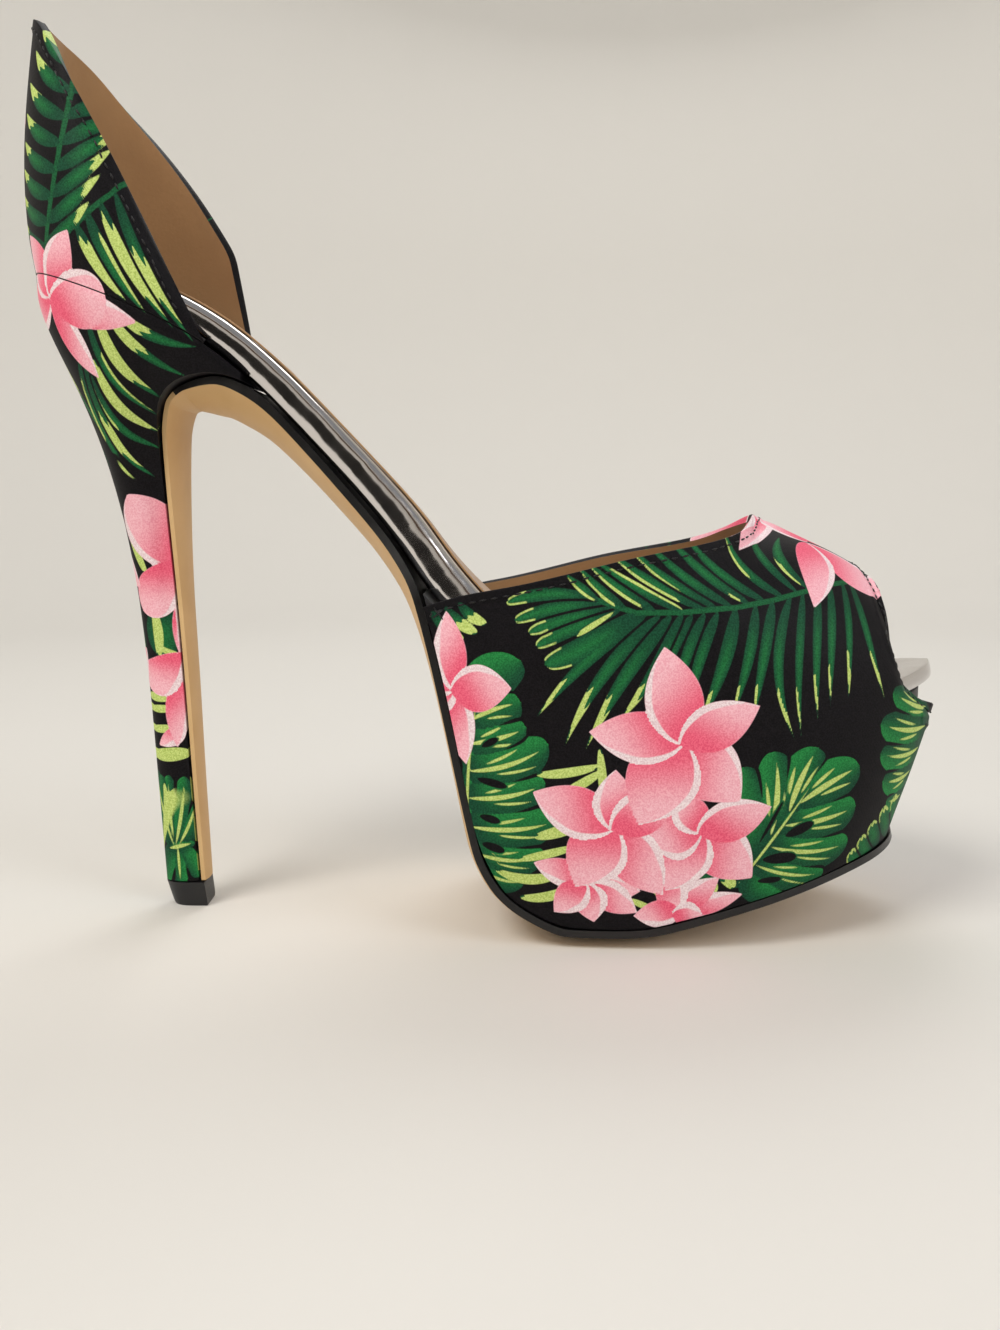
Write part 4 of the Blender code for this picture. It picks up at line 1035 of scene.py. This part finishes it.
# The inner side has the same cloth, cut from another place in the repeat
INNER_PALM_SPOT = (-14.0, 74.0)
INNER_PALM_RIB = ((32, -2), (4, -8), (-38, 8))
INNER_PALM_LOWER = (
    Leaflets(0.00, -8, 13, 3.0, 0.6, 1.2, 0.3),
    Leaflets(0.23, -32, 21, 3.6, 1.0, 1.2, 0.3),
    Leaflets(0.25, -37, 31, 3.4, 2.6, 0.62, 1.0),
    Leaflets(0.53, -77, 30, 3.2, 1.8, 0.70, 1.0),
    Leaflets(0.74, -98, 30, 2.8, 1.8, 0.70, 1.0),
    Leaflets(1.00, -104, 30, 2.5, 0.8, 0.70, 1.0),
)
INNER_PALM_UPPER = (
    Leaflets(0.04, 8, 12, 2.2, -0.6, 0.50, 0.8),
    Leaflets(0.40, 34, 17, 2.3, -1.6, 0.10, 0.8),
    Leaflets(0.64, 40, 20, 2.4, -2.0, 1.20, 0.8),
    Leaflets(0.84, 58, 22, 2.6, -3.0, 1.20, 0.8),
)
print_palm(vamp_print, "inner", INNER_PALM_SPOT, INNER_PALM_RIB, INNER_PALM_LOWER, 19)
print_palm(vamp_print, "inner", INNER_PALM_SPOT, INNER_PALM_RIB, INNER_PALM_UPPER, 14, lime_edge=-1)
INNER_LEAF = (
    Lobe(-62.0, 42.0, -40.0, 22.0, 4.0, 1.0, 0.7),
    Lobe(-56.0, 37.0, -46.0, 52.0, 10.2, 1.4, 1.2),
    Lobe(-52.0, 34.0, -38.0, 44.0, 10.2, 1.2, 1.2),
    Lobe(-47.0, 29.0, -31.0, 35.0, 9.6, 1.2, 1.1),
    Lobe(-58.0, 38.0, -66.0, 27.0, 9.6, -1.2, 1.1),
    Lobe(-52.0, 32.0, -57.0, 20.0, 9.6, -1.2, 1.1),
    Lobe(-46.0, 27.0, -47.0, 15.0, 8.4, -1.0, 0.9),
)
INNER_LEAF_HOLES = (Hole(-50.0, 36.0, -45.0, 40.0, 1.6), Hole(-46.0, 31.0, -40.0, 34.0, 1.6))
print_split_leaf(vamp_print, "inner", (-50, 34), INNER_LEAF, INNER_LEAF_HOLES)
INNER_BACK_LEAF = (
    Lobe(30.0, 60.0, 27.0, 14.0, 5.2, 0.8, 0.7),
    Lobe(29.0, 54.0, 17.0, 62.0, 10.3, -1.4, 1.2),
    Lobe(29.0, 46.0, 12.0, 51.0, 10.3, 1.6, 1.2),
    Lobe(29.0, 38.0, 11.0, 39.0, 10.3, 1.6, 1.2),
    Lobe(28.0, 29.0, 13.0, 28.0, 9.2, 1.4, 1.0),
    Lobe(27.0, 21.0, 15.0, 18.0, 8.0, 1.2, 0.9),
)
print_split_leaf(vamp_print, "inner", (22, 38), INNER_BACK_LEAF)
INNER_STEMS = (
    Blade(-8.0, 30.0, 8.0, 24.0, 2.4, -1.0, 0.0, 1.0),
    Blade(-8.0, 27.0, 6.0, 17.0, 2.4, -1.0, 0.0, 1.0),
    Blade(-10.0, 25.0, 0.0, 11.0, 2.4, -1.0, 0.0, 1.0),
    Blade(-22.0, 28.0, -34.0, 18.0, 2.4, 1.0, 0.0, 1.0),
    Blade(-20.0, 26.0, -27.0, 12.0, 2.4, 1.0, 0.0, 1.0),
)
print_blades(vamp_print, "inner", (-12, 24), INNER_STEMS, point=0.5)
print_flower(vamp_print, "inner", (-26.0, 22.0), swung(RIGHT_FLOWER, 40, 0.95))
print_flower(vamp_print, "inner", (-4.0, 18.0), swung(LEFT_FLOWER, 25, 0.9))
print_flower(vamp_print, "inner", (-12.0, 38.0), swung(TOP_FLOWER, -24))
print_flower(vamp_print, "inner", (30.0, 66.0), swung(RIGHT_FLOWER, 10, 0.95))
print_flower(vamp_print, "front", (14.0, 33.0), swung(RIGHT_FLOWER, 75, 0.85))

# The satin is kept as three light pieces, which share the shading of the whole
vamp_mesh = bpy.data.meshes.new("vamp_whole")
vamp.normal_update()
vamp_normals = [tuple(vert.normal) for vert in vamp.verts]
whole_number = vamp.verts.layers.int.new("whole_number")
for vert in vamp.verts:
    vert[whole_number] = vert.index
vamp.to_mesh(vamp_mesh)
write_print(vamp_mesh, vamp_print)
vamp.free()
TOE_SWING = 3.5 * MM
TOE_REACH = 82.0 * MM
OUTER_PARTING = 20.0 * MM


def vamp_part(centre):
    """Which piece of the satin a place belongs to."""
    if centre.y > TOE_SWING * max(centre.x, 0.0) / TOE_REACH:
        return "inner"
    return "outer_front" if centre.x > OUTER_PARTING else "outer_back"


for part_name in ("outer_back", "outer_front", "inner"):
    part_skin = bmesh.new()
    part_skin.from_mesh(vamp_mesh)
    elsewhere = [face for face in part_skin.faces if vamp_part(face.calc_center_median()) != part_name]
    bmesh.ops.delete(part_skin, geom=elsewhere, context="FACES")
    vamp_satin = as_piece(f"vamp_satin_{part_name}", part_skin, [printed_satin])
    numbers = [entry.value for entry in vamp_satin.data.attributes["whole_number"].data]
    vamp_satin.data.normals_split_custom_set_from_vertices([vamp_normals[number] for number in numbers])
    vamp_satin.data.attributes.remove(vamp_satin.data.attributes["whole_number"])
    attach(vamp_satin, "root")
    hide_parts("upper_vamp")
bpy.data.meshes.remove(vamp_mesh)

# Edge stitching
# One row of black sewing thread along the folded top edge of the vamp and round the open toe.
# A lockstitch of about four stitches to the centimetre, sunk a little into the satin.
STITCH_PITCH = 2.5 * MM
STITCH_LENGTH = 1.9 * MM
THREAD_THICK = 0.5 * MM

# Polyester sewing thread: twisted filaments, a little shiny, with the twist as fine slanting ribs
sewing_thread, tree, shader, place = new_finish("black_polyester_thread")
twist = node(
    tree, "ShaderNodeTexWave", {"Vector": place, "Scale": WAVE_REPEAT / THREAD_DRAWN, "Distortion": 1.0},
    bands_direction="DIAGONAL",
)
relief = node(
    tree, "ShaderNodeBump",
    {"Height": twist.outputs["Fac"], "Strength": 0.5, "Distance": 0.05 * MM},
)
tree.links.new(relief.outputs["Normal"], shader.inputs["Normal"])
shader.inputs["Base Color"].default_value = paint("#0B090B")
shader.inputs["Roughness"].default_value = 0.42
seam = bmesh.new()
for line in vamp_seams:
    sew(seam, line, STITCH_PITCH, STITCH_LENGTH, THREAD_THICK)

# A cross of two longer stitches holds the back corner of the outer side
CROSS_PLACE = (-36.4, 74.6)
CROSS_LENGTH = 4.2 * MM
CROSS_TURNS = (40, 128)
place, normal = vamp_print.hit("outer", CROSS_PLACE)
tangent = (SIDES["outer"][0] - normal * SIDES["outer"][0].dot(normal)).normalized()
for turn in CROSS_TURNS:
    ahead = Matrix.Rotation(math.radians(turn), 3, normal) @ tangent
    stitch(seam, place, ahead, normal, CROSS_LENGTH, THREAD_THICK)
vamp_stitches = as_piece("vamp_edge_stitches", seam, [sewing_thread])
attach(vamp_stitches, "root")

# Counter and heel cover
# The counter is printed satin over a stiffener that cups the heel, lined with the same tan leather.
# The heel under it is moulded plastic, covered in the same cloth before it is nailed to the seat.
COUNTER_ROUND = 0.7 * MM
COUNTER_POINTS = 0.5 * MM
COUNTER_FOLD = FOLD_WIDTH + 0.3
HEEL_ROUND = 0.45 * MM
HEEL_POINTS = 0.62 * MM
SEAT_FRONT = Vector((-88.0, 0.0, 134.0)) * MM
SEAT_SLOPE = 0.42
CLEAR_OF_SEAT = 4.0 * MM
counter, lining = satin_and_lining("upper_counter", COUNTER_ROUND, COUNTER_POINTS)
counter_edges = [
    [
        vert for vert in row
        if vert.co.z - SEAT_FRONT.z - SEAT_SLOPE * (SEAT_FRONT.x - vert.co.x) > CLEAR_OF_SEAT
    ]
    for row in open_edges(counter)
]
counter_seams = turn_edge(counter, counter_edges, COUNTER_FOLD, FOLD_HEIGHT)
counter_lining = as_piece("counter_lining", lining, [tan_suede])
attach(counter_lining, "root")
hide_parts("upper_counter")
heel = rounded(cad_cage("heel"), HEEL_ROUND, VAMP_LEVELS)
refine(heel, HEEL_POINTS)

# The print runs on over the seam between the two, so both are printed together
heel_print = Print(counter, heel)
HEEL_TOP_LEAFLETS = (
    Blade(-113.5, 157.5, -103.5, 141.6, 2.6, -0.8, 0.2, 1.0),
    Blade(-111.0, 160.0, -99.4, 139.0, 2.7, -1.0, 0.2, 1.0, 1),
    Blade(-108.0, 162.0, -94.0, 136.2, 2.4, -1.2, 0.15, 0.8),
    Blade(-105.0, 164.0, -89.8, 133.2, 2.3, -1.4, 0.4, 0.75),
    Blade(-101.5, 165.5, -88.2, 136.0, 2.2, -1.2, 0.2, 1.0),
    Blade(-98.0, 166.5, -88.5, 142.0, 2.0, -1.0, 1.1, 1.2),
    Blade(-105.5, 139.2, -89.2, 132.3, 2.4, -1.6, 0.0, 0.38),
    Blade(-108.0, 139.6, -92.0, 126.0, 2.4, -1.9, 0.0, 0.5),
    Blade(-110.5, 139.5, -98.0, 120.5, 2.7, -2.6, 0.0, 0.76),
    Blade(-113.0, 139.0, -99.0, 116.0, 1.9, -3.2, 0.25, 0.85, 1),
    Blade(-112.5, 130.0, -99.8, 112.2, 2.4, -2.5, 0.0, 1.0),
    Blade(-114.0, 127.0, -99.8, 108.4, 2.2, -3.1, 0.2, 0.6, -1),
    Blade(-115.0, 129.0, -102.2, 104.3, 2.6, -3.4, 0.42, 0.78),
    Blade(-116.5, 130.0, -105.6, 103.5, 2.2, -3.3, 0.2, 0.7, -1),
    Blade(-111.0, 109.6, -105.5, 103.4, 1.4, -0.6, 0.2, 1.0),
)
print_blades(heel_print, "outer", (-106, 128), HEEL_TOP_LEAFLETS, gap=LEAFLET_GAP)
HEEL_TOP_RIB = ((-114.0, 157.0), (-106.0, 163.6), (-96.0, 167.6))
HEEL_TOP_RIB_WIDTH = 1.1
print_stem(heel_print, "outer", (-106, 150), HEEL_TOP_RIB, HEEL_TOP_RIB_WIDTH)
HEEL_LEAVES = (
    Blade(-110.4, 96.0, -104.2, 84.2, 3.0, -0.4, 1.1, 1.2),
    Blade(-110.2, 93.6, -106.0, 81.6, 2.0, -0.4, 0.0, 1.0),
    Blade(-103.6, 74.0, -102.6, 62.2, 8.6, 0.0, 1.1, 1.2),
    Blade(-105.0, 73.6, -104.2, 62.0, 2.4, 0.4, 0.0, 1.0),
    Blade(-104.0, 64.6, -99.8, 62.8, 1.4, -0.4, 0.0, 1.0),
    Blade(-108.4, 52.2, -100.6, 52.4, 2.4, 0.0, 0.0, 1.0),
    Blade(-108.0, 49.2, -100.6, 49.6, 1.9, 0.0, 0.0, 1.0),
    Blade(-107.6, 44.2, -100.6, 44.8, 2.0, 0.0, 0.0, 1.0),
    Blade(-107.6, 37.8, -97.4, 38.6, 3.4, 0.0, 0.0, 1.0),
)
print_blades(heel_print, "outer", (-104, 68), HEEL_LEAVES, point=0.5)

# Split leaf at the heel's foot: its veins meet low down
HEEL_FOOT_LEAF = (
    Lobe(-104.2, 14.6, -97.6, 16.2, 3.0, 0.0, 0.9),
    Lobe(-102.6, 15.0, -107.0, 33.6, 6.0, 0.6, 0.7),
    Lobe(-102.6, 15.0, -103.4, 33.0, 5.0, 0.4, 0.8),
    Lobe(-102.4, 15.0, -99.4, 32.6, 6.0, -0.4, 0.8),
    Lobe(-101.6, 15.4, -96.8, 27.0, 5.6, -0.6, 0.7),
    Lobe(-102.6, 15.4, -106.0, 6.0, 5.6, 0.4, 0.0),
    Lobe(-101.8, 15.4, -101.4, 5.4, 5.2, 0.0, 0.6),
    Lobe(-101.2, 15.4, -97.0, 7.4, 5.0, 0.2, 0.0),
)
print_split_leaf(heel_print, "outer", (-101, 20), HEEL_FOOT_LEAF)
HEEL_PETALS = (
    Petal(-97.6, 82.6, -109.0, 100.4, 13.0, 0.75),
    Petal(-98.4, 85.2, -107.6, 72.8, 11.0, 0.5),
    Petal(-99.6, 74.4, -99.3, 62.6, 2.6),
    Petal(-98.6, 44.6, -105.4, 40.4, 4.4),
    Petal(-99.4, 58.0, -100.8, 40.0, 6.4),
    Petal(-98.4, 62.8, -107.6, 54.6, 9.4, 0.45),
    Petal(-96.6, 6.4, -100.4, 8.0, 2.8),
)
print_petals(heel_print, "outer", (-103, 76), HEEL_PETALS)

# Flower at the back edge, half on the counter and half on the heel
BACK_EDGE_FLOWER = ((60, 16, 10), (128, 16, 11), (200, 16, 11))
BACK_EDGE_PETALS = (
    Petal(-121.0, 143.4, -101.4, 137.2, 8.0),
    Petal(-122.5, 143.8, -111.8, 125.8, 6.4),
    Petal(-122.8, 143.6, -108.0, 141.8, 12.6, 0.45),
)
print_flower(heel_print, "outer", (-122.5, 144.0), BACK_EDGE_FLOWER)
print_petals(heel_print, "outer", (-118.0, 141.0), BACK_EDGE_PETALS)

# Upper counter, the back and the inner side, cut from other places in the repeat
COUNTER_PALM_RIB = ((-8, -22), (2, 0), (4, 26))
COUNTER_PALM = (
    Leaflets(0.0, 30, 16, 3.4, -1.2, 0.7, 0.9),
    Leaflets(0.5, 40, 18, 3.4, -1.6, 0.66, 0.9),
    Leaflets(1.0, 62, 13, 3.0, -1.2, 0.6, 0.9),
)
COUNTER_PALM_COUNT = 10
for side, spot in (("outer", (-116.0, 176.0)), ("inner", (112.0, 172.0))):
    for leaflet_rows in (COUNTER_PALM, mirrored(COUNTER_PALM)):
        print_palm(heel_print, side, spot, COUNTER_PALM_RIB, leaflet_rows, COUNTER_PALM_COUNT)
BACK_SPLIT_LEAF = (
    Lobe(-13.0, 188.0, -8.0, 146.0, 3.4, 0.6, 0.7),
    Lobe(-12.0, 178.0, -1.0, 172.0, 8.0, -1.0, 1.0),
    Lobe(-11.0, 169.0, 2.0, 163.0, 8.6, -1.0, 1.1),
    Lobe(-10.0, 160.0, 2.0, 154.0, 8.0, -1.0, 1.0),
    Lobe(-12.0, 174.0, -19.0, 166.0, 7.5, 1.0, 1.0),
    Lobe(-11.0, 164.0, -19.5, 156.0, 7.5, 1.0, 1.0),
    Lobe(-9.5, 154.0, -17.0, 146.0, 6.9, 1.0, 0.9),
)
print_split_leaf(heel_print, "back", (-6.0, 165.0), BACK_SPLIT_LEAF)
print_flower(heel_print, "back", (-4.0, 186.0), swung(RIGHT_FLOWER, 30))
print_flower(heel_print, "inner", (108.0, 148.0), swung(TOP_FLOWER, 50, 0.9))
HEEL_BACK_LEAFLETS = (
    Blade(10.0, 137.0, 13.5, 112.0, 2.4, -1.0, 0.0, 0.5),
    Blade(5.0, 136.0, 9.0, 106.0, 2.4, -1.2, 0.2, 0.7),
    Blade(0.0, 136.0, 5.0, 102.0, 2.5, -1.2, 0.0, 0.6),
    Blade(-5.0, 136.0, 0.5, 101.0, 2.5, -1.0, 0.3, 0.9, 1),
    Blade(-9.0, 137.0, -4.5, 104.0, 2.4, -0.6, 0.0, 0.7),
    Blade(-13.0, 138.0, -9.5, 110.0, 2.4, 0.0, 0.2, 0.8, 1),
)
HEEL_BACK_LEAVES = (
    Blade(-4.0, 77.0, 3.0, 63.0, 6.4, 0.0, 1.1, 1.2),
    Blade(-3.0, 76.0, 3.0, 64.0, 2.0, 0.0, 0.0, 1.0),
    Blade(-6.0, 50.6, 6.0, 49.4, 2.2, 0.0, 0.0, 1.0),
    Blade(-6.0, 45.6, 6.0, 44.4, 2.0, 0.0, 0.0, 1.0),
    Blade(-6.0, 38.6, 6.0, 38.0, 3.0, 0.0, 0.0, 1.0),
    Blade(0.0, 13.0, -4.0, 34.0, 5.0, 0.4, 1.1, 1.2),
    Blade(0.0, 13.0, 0.5, 34.0, 5.0, 0.0, 0.1, 0.9, 1),
    Blade(0.0, 13.0, 4.0, 33.0, 5.0, -0.4, 0.1, 0.9, -1),
    Blade(0.0, 15.0, 0.0, 5.4, 7.0, 0.0, 1.1, 1.2),
)
print_blades(heel_print, "back", (0.0, 100.0), HEEL_BACK_LEAFLETS)
print_blades(heel_print, "back", (0.0, 45.0), HEEL_BACK_LEAVES, point=0.5)
HEEL_BACK_PETALS = (
    Petal(5.0, 97.0, -6.0, 88.0, 9.0),
    Petal(-5.0, 88.0, 6.0, 79.0, 9.0),
    Petal(4.0, 64.0, -5.0, 55.0, 8.5, 0.5),
)
print_petals(heel_print, "back", (0.0, 78.0), HEEL_BACK_PETALS)
INNER_HEEL_LEAFLETS = (
    Blade(112.0, 134.0, 98.0, 122.0, 3.2, 2.0, 0.0, 0.6),
    Blade(114.0, 131.0, 99.0, 115.0, 3.2, 2.2, 0.25, 0.7),
    Blade(115.0, 126.0, 100.0, 108.0, 3.2, 2.2, 0.0, 0.7),
    Blade(115.0, 119.0, 101.0, 101.0, 3.0, 2.0, 0.3, 0.9),
    Blade(113.0, 112.0, 102.0, 95.0, 2.8, 1.8, 0.0, 0.8),
)
print_blades(heel_print, "inner", (107, 118), INNER_HEEL_LEAFLETS)
INNER_HEEL_PETALS = (
    Petal(99.0, 92.0, 110.0, 82.0, 9.0),
    Petal(99.0, 80.0, 108.0, 74.0, 9.0),
    Petal(98.5, 58.0, 107.0, 50.0, 8.0),
    Petal(98.5, 50.0, 107.0, 44.0, 6.0),
)
print_petals(heel_print, "inner", (103, 70), INNER_HEEL_PETALS)
INNER_HEEL_LEAVES = (
    Blade(108.0, 71.0, 99.0, 60.0, 6.0, 0.6, 0.6, 1.0),
    Blade(107.0, 66.0, 98.5, 57.0, 3.0, 0.5, 0.0, 1.0),
    Blade(107.0, 39.0, 97.0, 36.0, 2.6, 0.3, 0.0, 1.0),
    Blade(106.5, 33.0, 97.0, 24.0, 6.0, 0.4, 0.6, 1.0),
    Blade(105.5, 24.0, 97.0, 15.0, 6.0, 0.4, 0.6, 1.0),
    Blade(105.0, 15.0, 97.0, 8.0, 5.0, 0.4, 0.6, 1.0),
)
print_blades(heel_print, "inner", (103, 42), INNER_HEEL_LEAVES, point=0.5)

seam = bmesh.new()
for line in counter_seams:
    sew(seam, line, STITCH_PITCH, STITCH_LENGTH, THREAD_THICK)
counter_stitches = as_piece("counter_edge_stitches", seam, [sewing_thread])
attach(counter_stitches, "root")

counter_satin = as_piece("counter_satin", counter, [printed_satin])
write_print(counter_satin.data, heel_print)
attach(counter_satin, "root")
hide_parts("upper_counter")
heel_cover = as_piece("heel_cover", heel, [printed_satin])
write_print(heel_cover.data, heel_print, len(counter_satin.data.vertices))
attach(heel_cover, "root")
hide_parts("heel")

# Turned-in edge of the counter
# The satin's raw edge is folded under the counter and glued down on the seat.
# It shows only as a thin black line in the seam between counter and heel.
TUCK_INSET = 0.55 * MM
TUCK_THICK = 1.1 * MM
TUCK_DROP = 0.6 * MM
FACING_DOWN = -0.7
tuck = cad_cage("upper_counter")
tuck.normal_update()
bmesh.ops.delete(tuck, geom=[face for face in tuck.faces if face.normal.z > FACING_DOWN], context="FACES")
margin = bmesh.ops.inset_region(tuck, faces=tuck.faces[:], thickness=TUCK_INSET, use_boundary=True)
bmesh.ops.delete(tuck, geom=margin["faces"], context="FACES")
bmesh.ops.solidify(tuck, geom=tuck.faces[:], thickness=TUCK_THICK)
bmesh.ops.recalc_face_normals(tuck, faces=tuck.faces[:])
bmesh.ops.translate(tuck, verts=tuck.verts[:], vec=(0.0, 0.0, -TUCK_DROP))
counter_tuck = as_piece("counter_turned_edge", tuck, [black_satin])
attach(counter_tuck, "root")

# Top piece
# The hard black tip that the heel stands on, moulded in polyurethane round a steel pin.
# The pin is driven into the heel's foot, so the tip can be changed when it is worn.
TIP_ROUND = 0.35 * MM
TIP_LEVELS = 2

# Moulded polyurethane: hard and dark, with the mould's fine grain and a sheen that walking dulls in places
MOULD_GRAIN = 0.4 * MM
tip_plastic, tree, shader, place = new_finish("moulded_black_polyurethane")
grain = node(tree, "ShaderNodeTexNoise", {"Vector": place, "Scale": 1 / MOULD_GRAIN, "Detail": 2.0})
relief = node(
    tree, "ShaderNodeBump",
    {"Height": grain.outputs["Fac"], "Strength": 0.3, "Distance": 0.03 * MM},
)
worn = node(tree, "ShaderNodeMapRange", {"Value": grain.outputs["Fac"], "To Min": 0.3, "To Max": 0.5})
tree.links.new(worn.outputs["Result"], shader.inputs["Roughness"])
tree.links.new(relief.outputs["Normal"], shader.inputs["Normal"])
shader.inputs["Base Color"].default_value = paint("#161618")
top_piece = as_piece("top_piece_tip", rounded(cad_cage("top_piece"), TIP_ROUND, TIP_LEVELS), [tip_plastic])
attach(top_piece, "root")
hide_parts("top_piece")

# Studio
# A pale seamless floor that curves up into a wall all round, lit softly from above and from the left.
# The camera stands at the outer side, a little below the height of the heel seat.
FLOOR_RADIUS = 0.75
SWEEP_RADIUS = 0.35
WALL_TOP = 1.3
SWEEP_STEPS = 8
FLOOR_STEPS = 64
floor_shape = bmesh.new()
row = [floor_shape.verts.new((0, 0, 0)), floor_shape.verts.new((FLOOR_RADIUS, 0, 0))]
for step in range(1, SWEEP_STEPS + 1):
    turn = math.radians(90 * step / SWEEP_STEPS)
    reach = FLOOR_RADIUS + SWEEP_RADIUS * math.sin(turn)
    row.append(floor_shape.verts.new((reach, 0, SWEEP_RADIUS * (1 - math.cos(turn)))))
row.append(floor_shape.verts.new((FLOOR_RADIUS + SWEEP_RADIUS, 0, WALL_TOP)))
edges = [floor_shape.edges.new(pair) for pair in zip(row, row[1:])]
bmesh.ops.spin(
    floor_shape, geom=row + edges, cent=(0, 0, 0), axis=(0, 0, 1),
    angle=2 * math.pi, steps=FLOOR_STEPS, use_merge=True,
)
bmesh.ops.remove_doubles(floor_shape, verts=floor_shape.verts[:], dist=WELD)
bmesh.ops.recalc_face_normals(floor_shape, faces=floor_shape.faces[:])
if sum(face.normal.z for face in floor_shape.faces) < 0:
    bmesh.ops.reverse_faces(floor_shape, faces=floor_shape.faces[:])

# Backdrop paint: pale matt emulsion rolled on evenly, so that nothing in it draws the eye
backdrop_paint, tree, shader, place = new_finish("matt_backdrop_paint")
shader.inputs["Base Color"].default_value = paint("#DEDBD5")
shader.inputs["Roughness"].default_value = 0.7
floor = as_piece("studio_floor", floor_shape, [backdrop_paint])

# Dark cards behind the camera, which only mirrors see: they draw the dark bands in the silver
Card = namedtuple("Card", "name middle size colour")
CARDS = (
    Card("dark_card", (-0.05, -0.62, 0.2), (1.0, 0.34), "#1D1A18"),
    Card("brown_card", (0.1, -0.6, 0.62), (0.8, 0.16), "#5A3E2C"),
)
for card in CARDS:
    card_shape = bmesh.new()
    bmesh.ops.create_grid(
        card_shape, x_segments=1, y_segments=1, size=0.5,
        matrix=Matrix.Translation(card.middle)
        @ Matrix.Rotation(math.radians(90), 4, "X")
        @ Matrix.Diagonal((card.size[0], card.size[1], 1.0, 1.0)),
    )
    card_paint, tree, shader, place = new_finish(f"matt_{card.name}")
    shader.inputs["Base Color"].default_value = paint(card.colour)
    shader.inputs["Roughness"].default_value = 0.9
    flag = as_piece(card.name, card_shape, [card_paint])
    flag.visible_camera = False
    flag.visible_diffuse = False
    flag.visible_shadow = False

Lamp = namedtuple("Lamp", "name place aim size watts colour")
LAMPS = (
    Lamp("key_lamp", (-0.55, -0.55, 0.95), (0.0, 0.0, 0.07), 0.55, 7.3, "#FFFCF7"),
    Lamp("fill_lamp", (0.7, -0.5, 0.6), (0.0, 0.0, 0.07), 0.6, 2.7, "#F6F8FF"),
    Lamp("back_lamp", (0.1, 0.75, 0.9), (0.0, 0.0, 0.08), 0.6, 3.4, "#FFFFFF"),
)
for lamp in LAMPS:
    light = bpy.data.lights.new(lamp.name, "AREA")
    light.shape = "DISK"
    light.size = lamp.size
    light.energy = lamp.watts
    light.color = paint(lamp.colour)[:3]
    stand = bpy.data.objects.new(lamp.name, light)
    stand.location = lamp.place
    stand.rotation_euler = (Vector(lamp.aim) - Vector(lamp.place)).to_track_quat("-Z", "Y").to_euler()
    bpy.context.scene.collection.objects.link(stand)

ROOM_STRENGTH = 0.39
world = bpy.data.worlds.new("soft_room")
world.use_nodes = True
room = world.node_tree.nodes["Background"]
room.inputs["Color"].default_value = paint("#E9EAEC")
room.inputs["Strength"].default_value = ROOM_STRENGTH
bpy.context.scene.world = world
bpy.context.scene.view_settings.view_transform = "Standard"

CAMERA_PLACE = (-0.023, -0.306, 0.0985)
CAMERA_TILT = math.radians(90 - 7.3)
CAMERA_LENS = 34.27
SENSOR_HEIGHT = 36.0
camera_data = bpy.data.cameras.new("camera")
camera_data.sensor_fit = "VERTICAL"
camera_data.sensor_height = SENSOR_HEIGHT
camera_data.lens = CAMERA_LENS
camera_data.clip_start = 0.01
camera = bpy.data.objects.new("camera", camera_data)
camera.location = CAMERA_PLACE
camera.rotation_euler = (CAMERA_TILT, 0, 0)
bpy.context.scene.collection.objects.link(camera)
bpy.context.scene.camera = camera
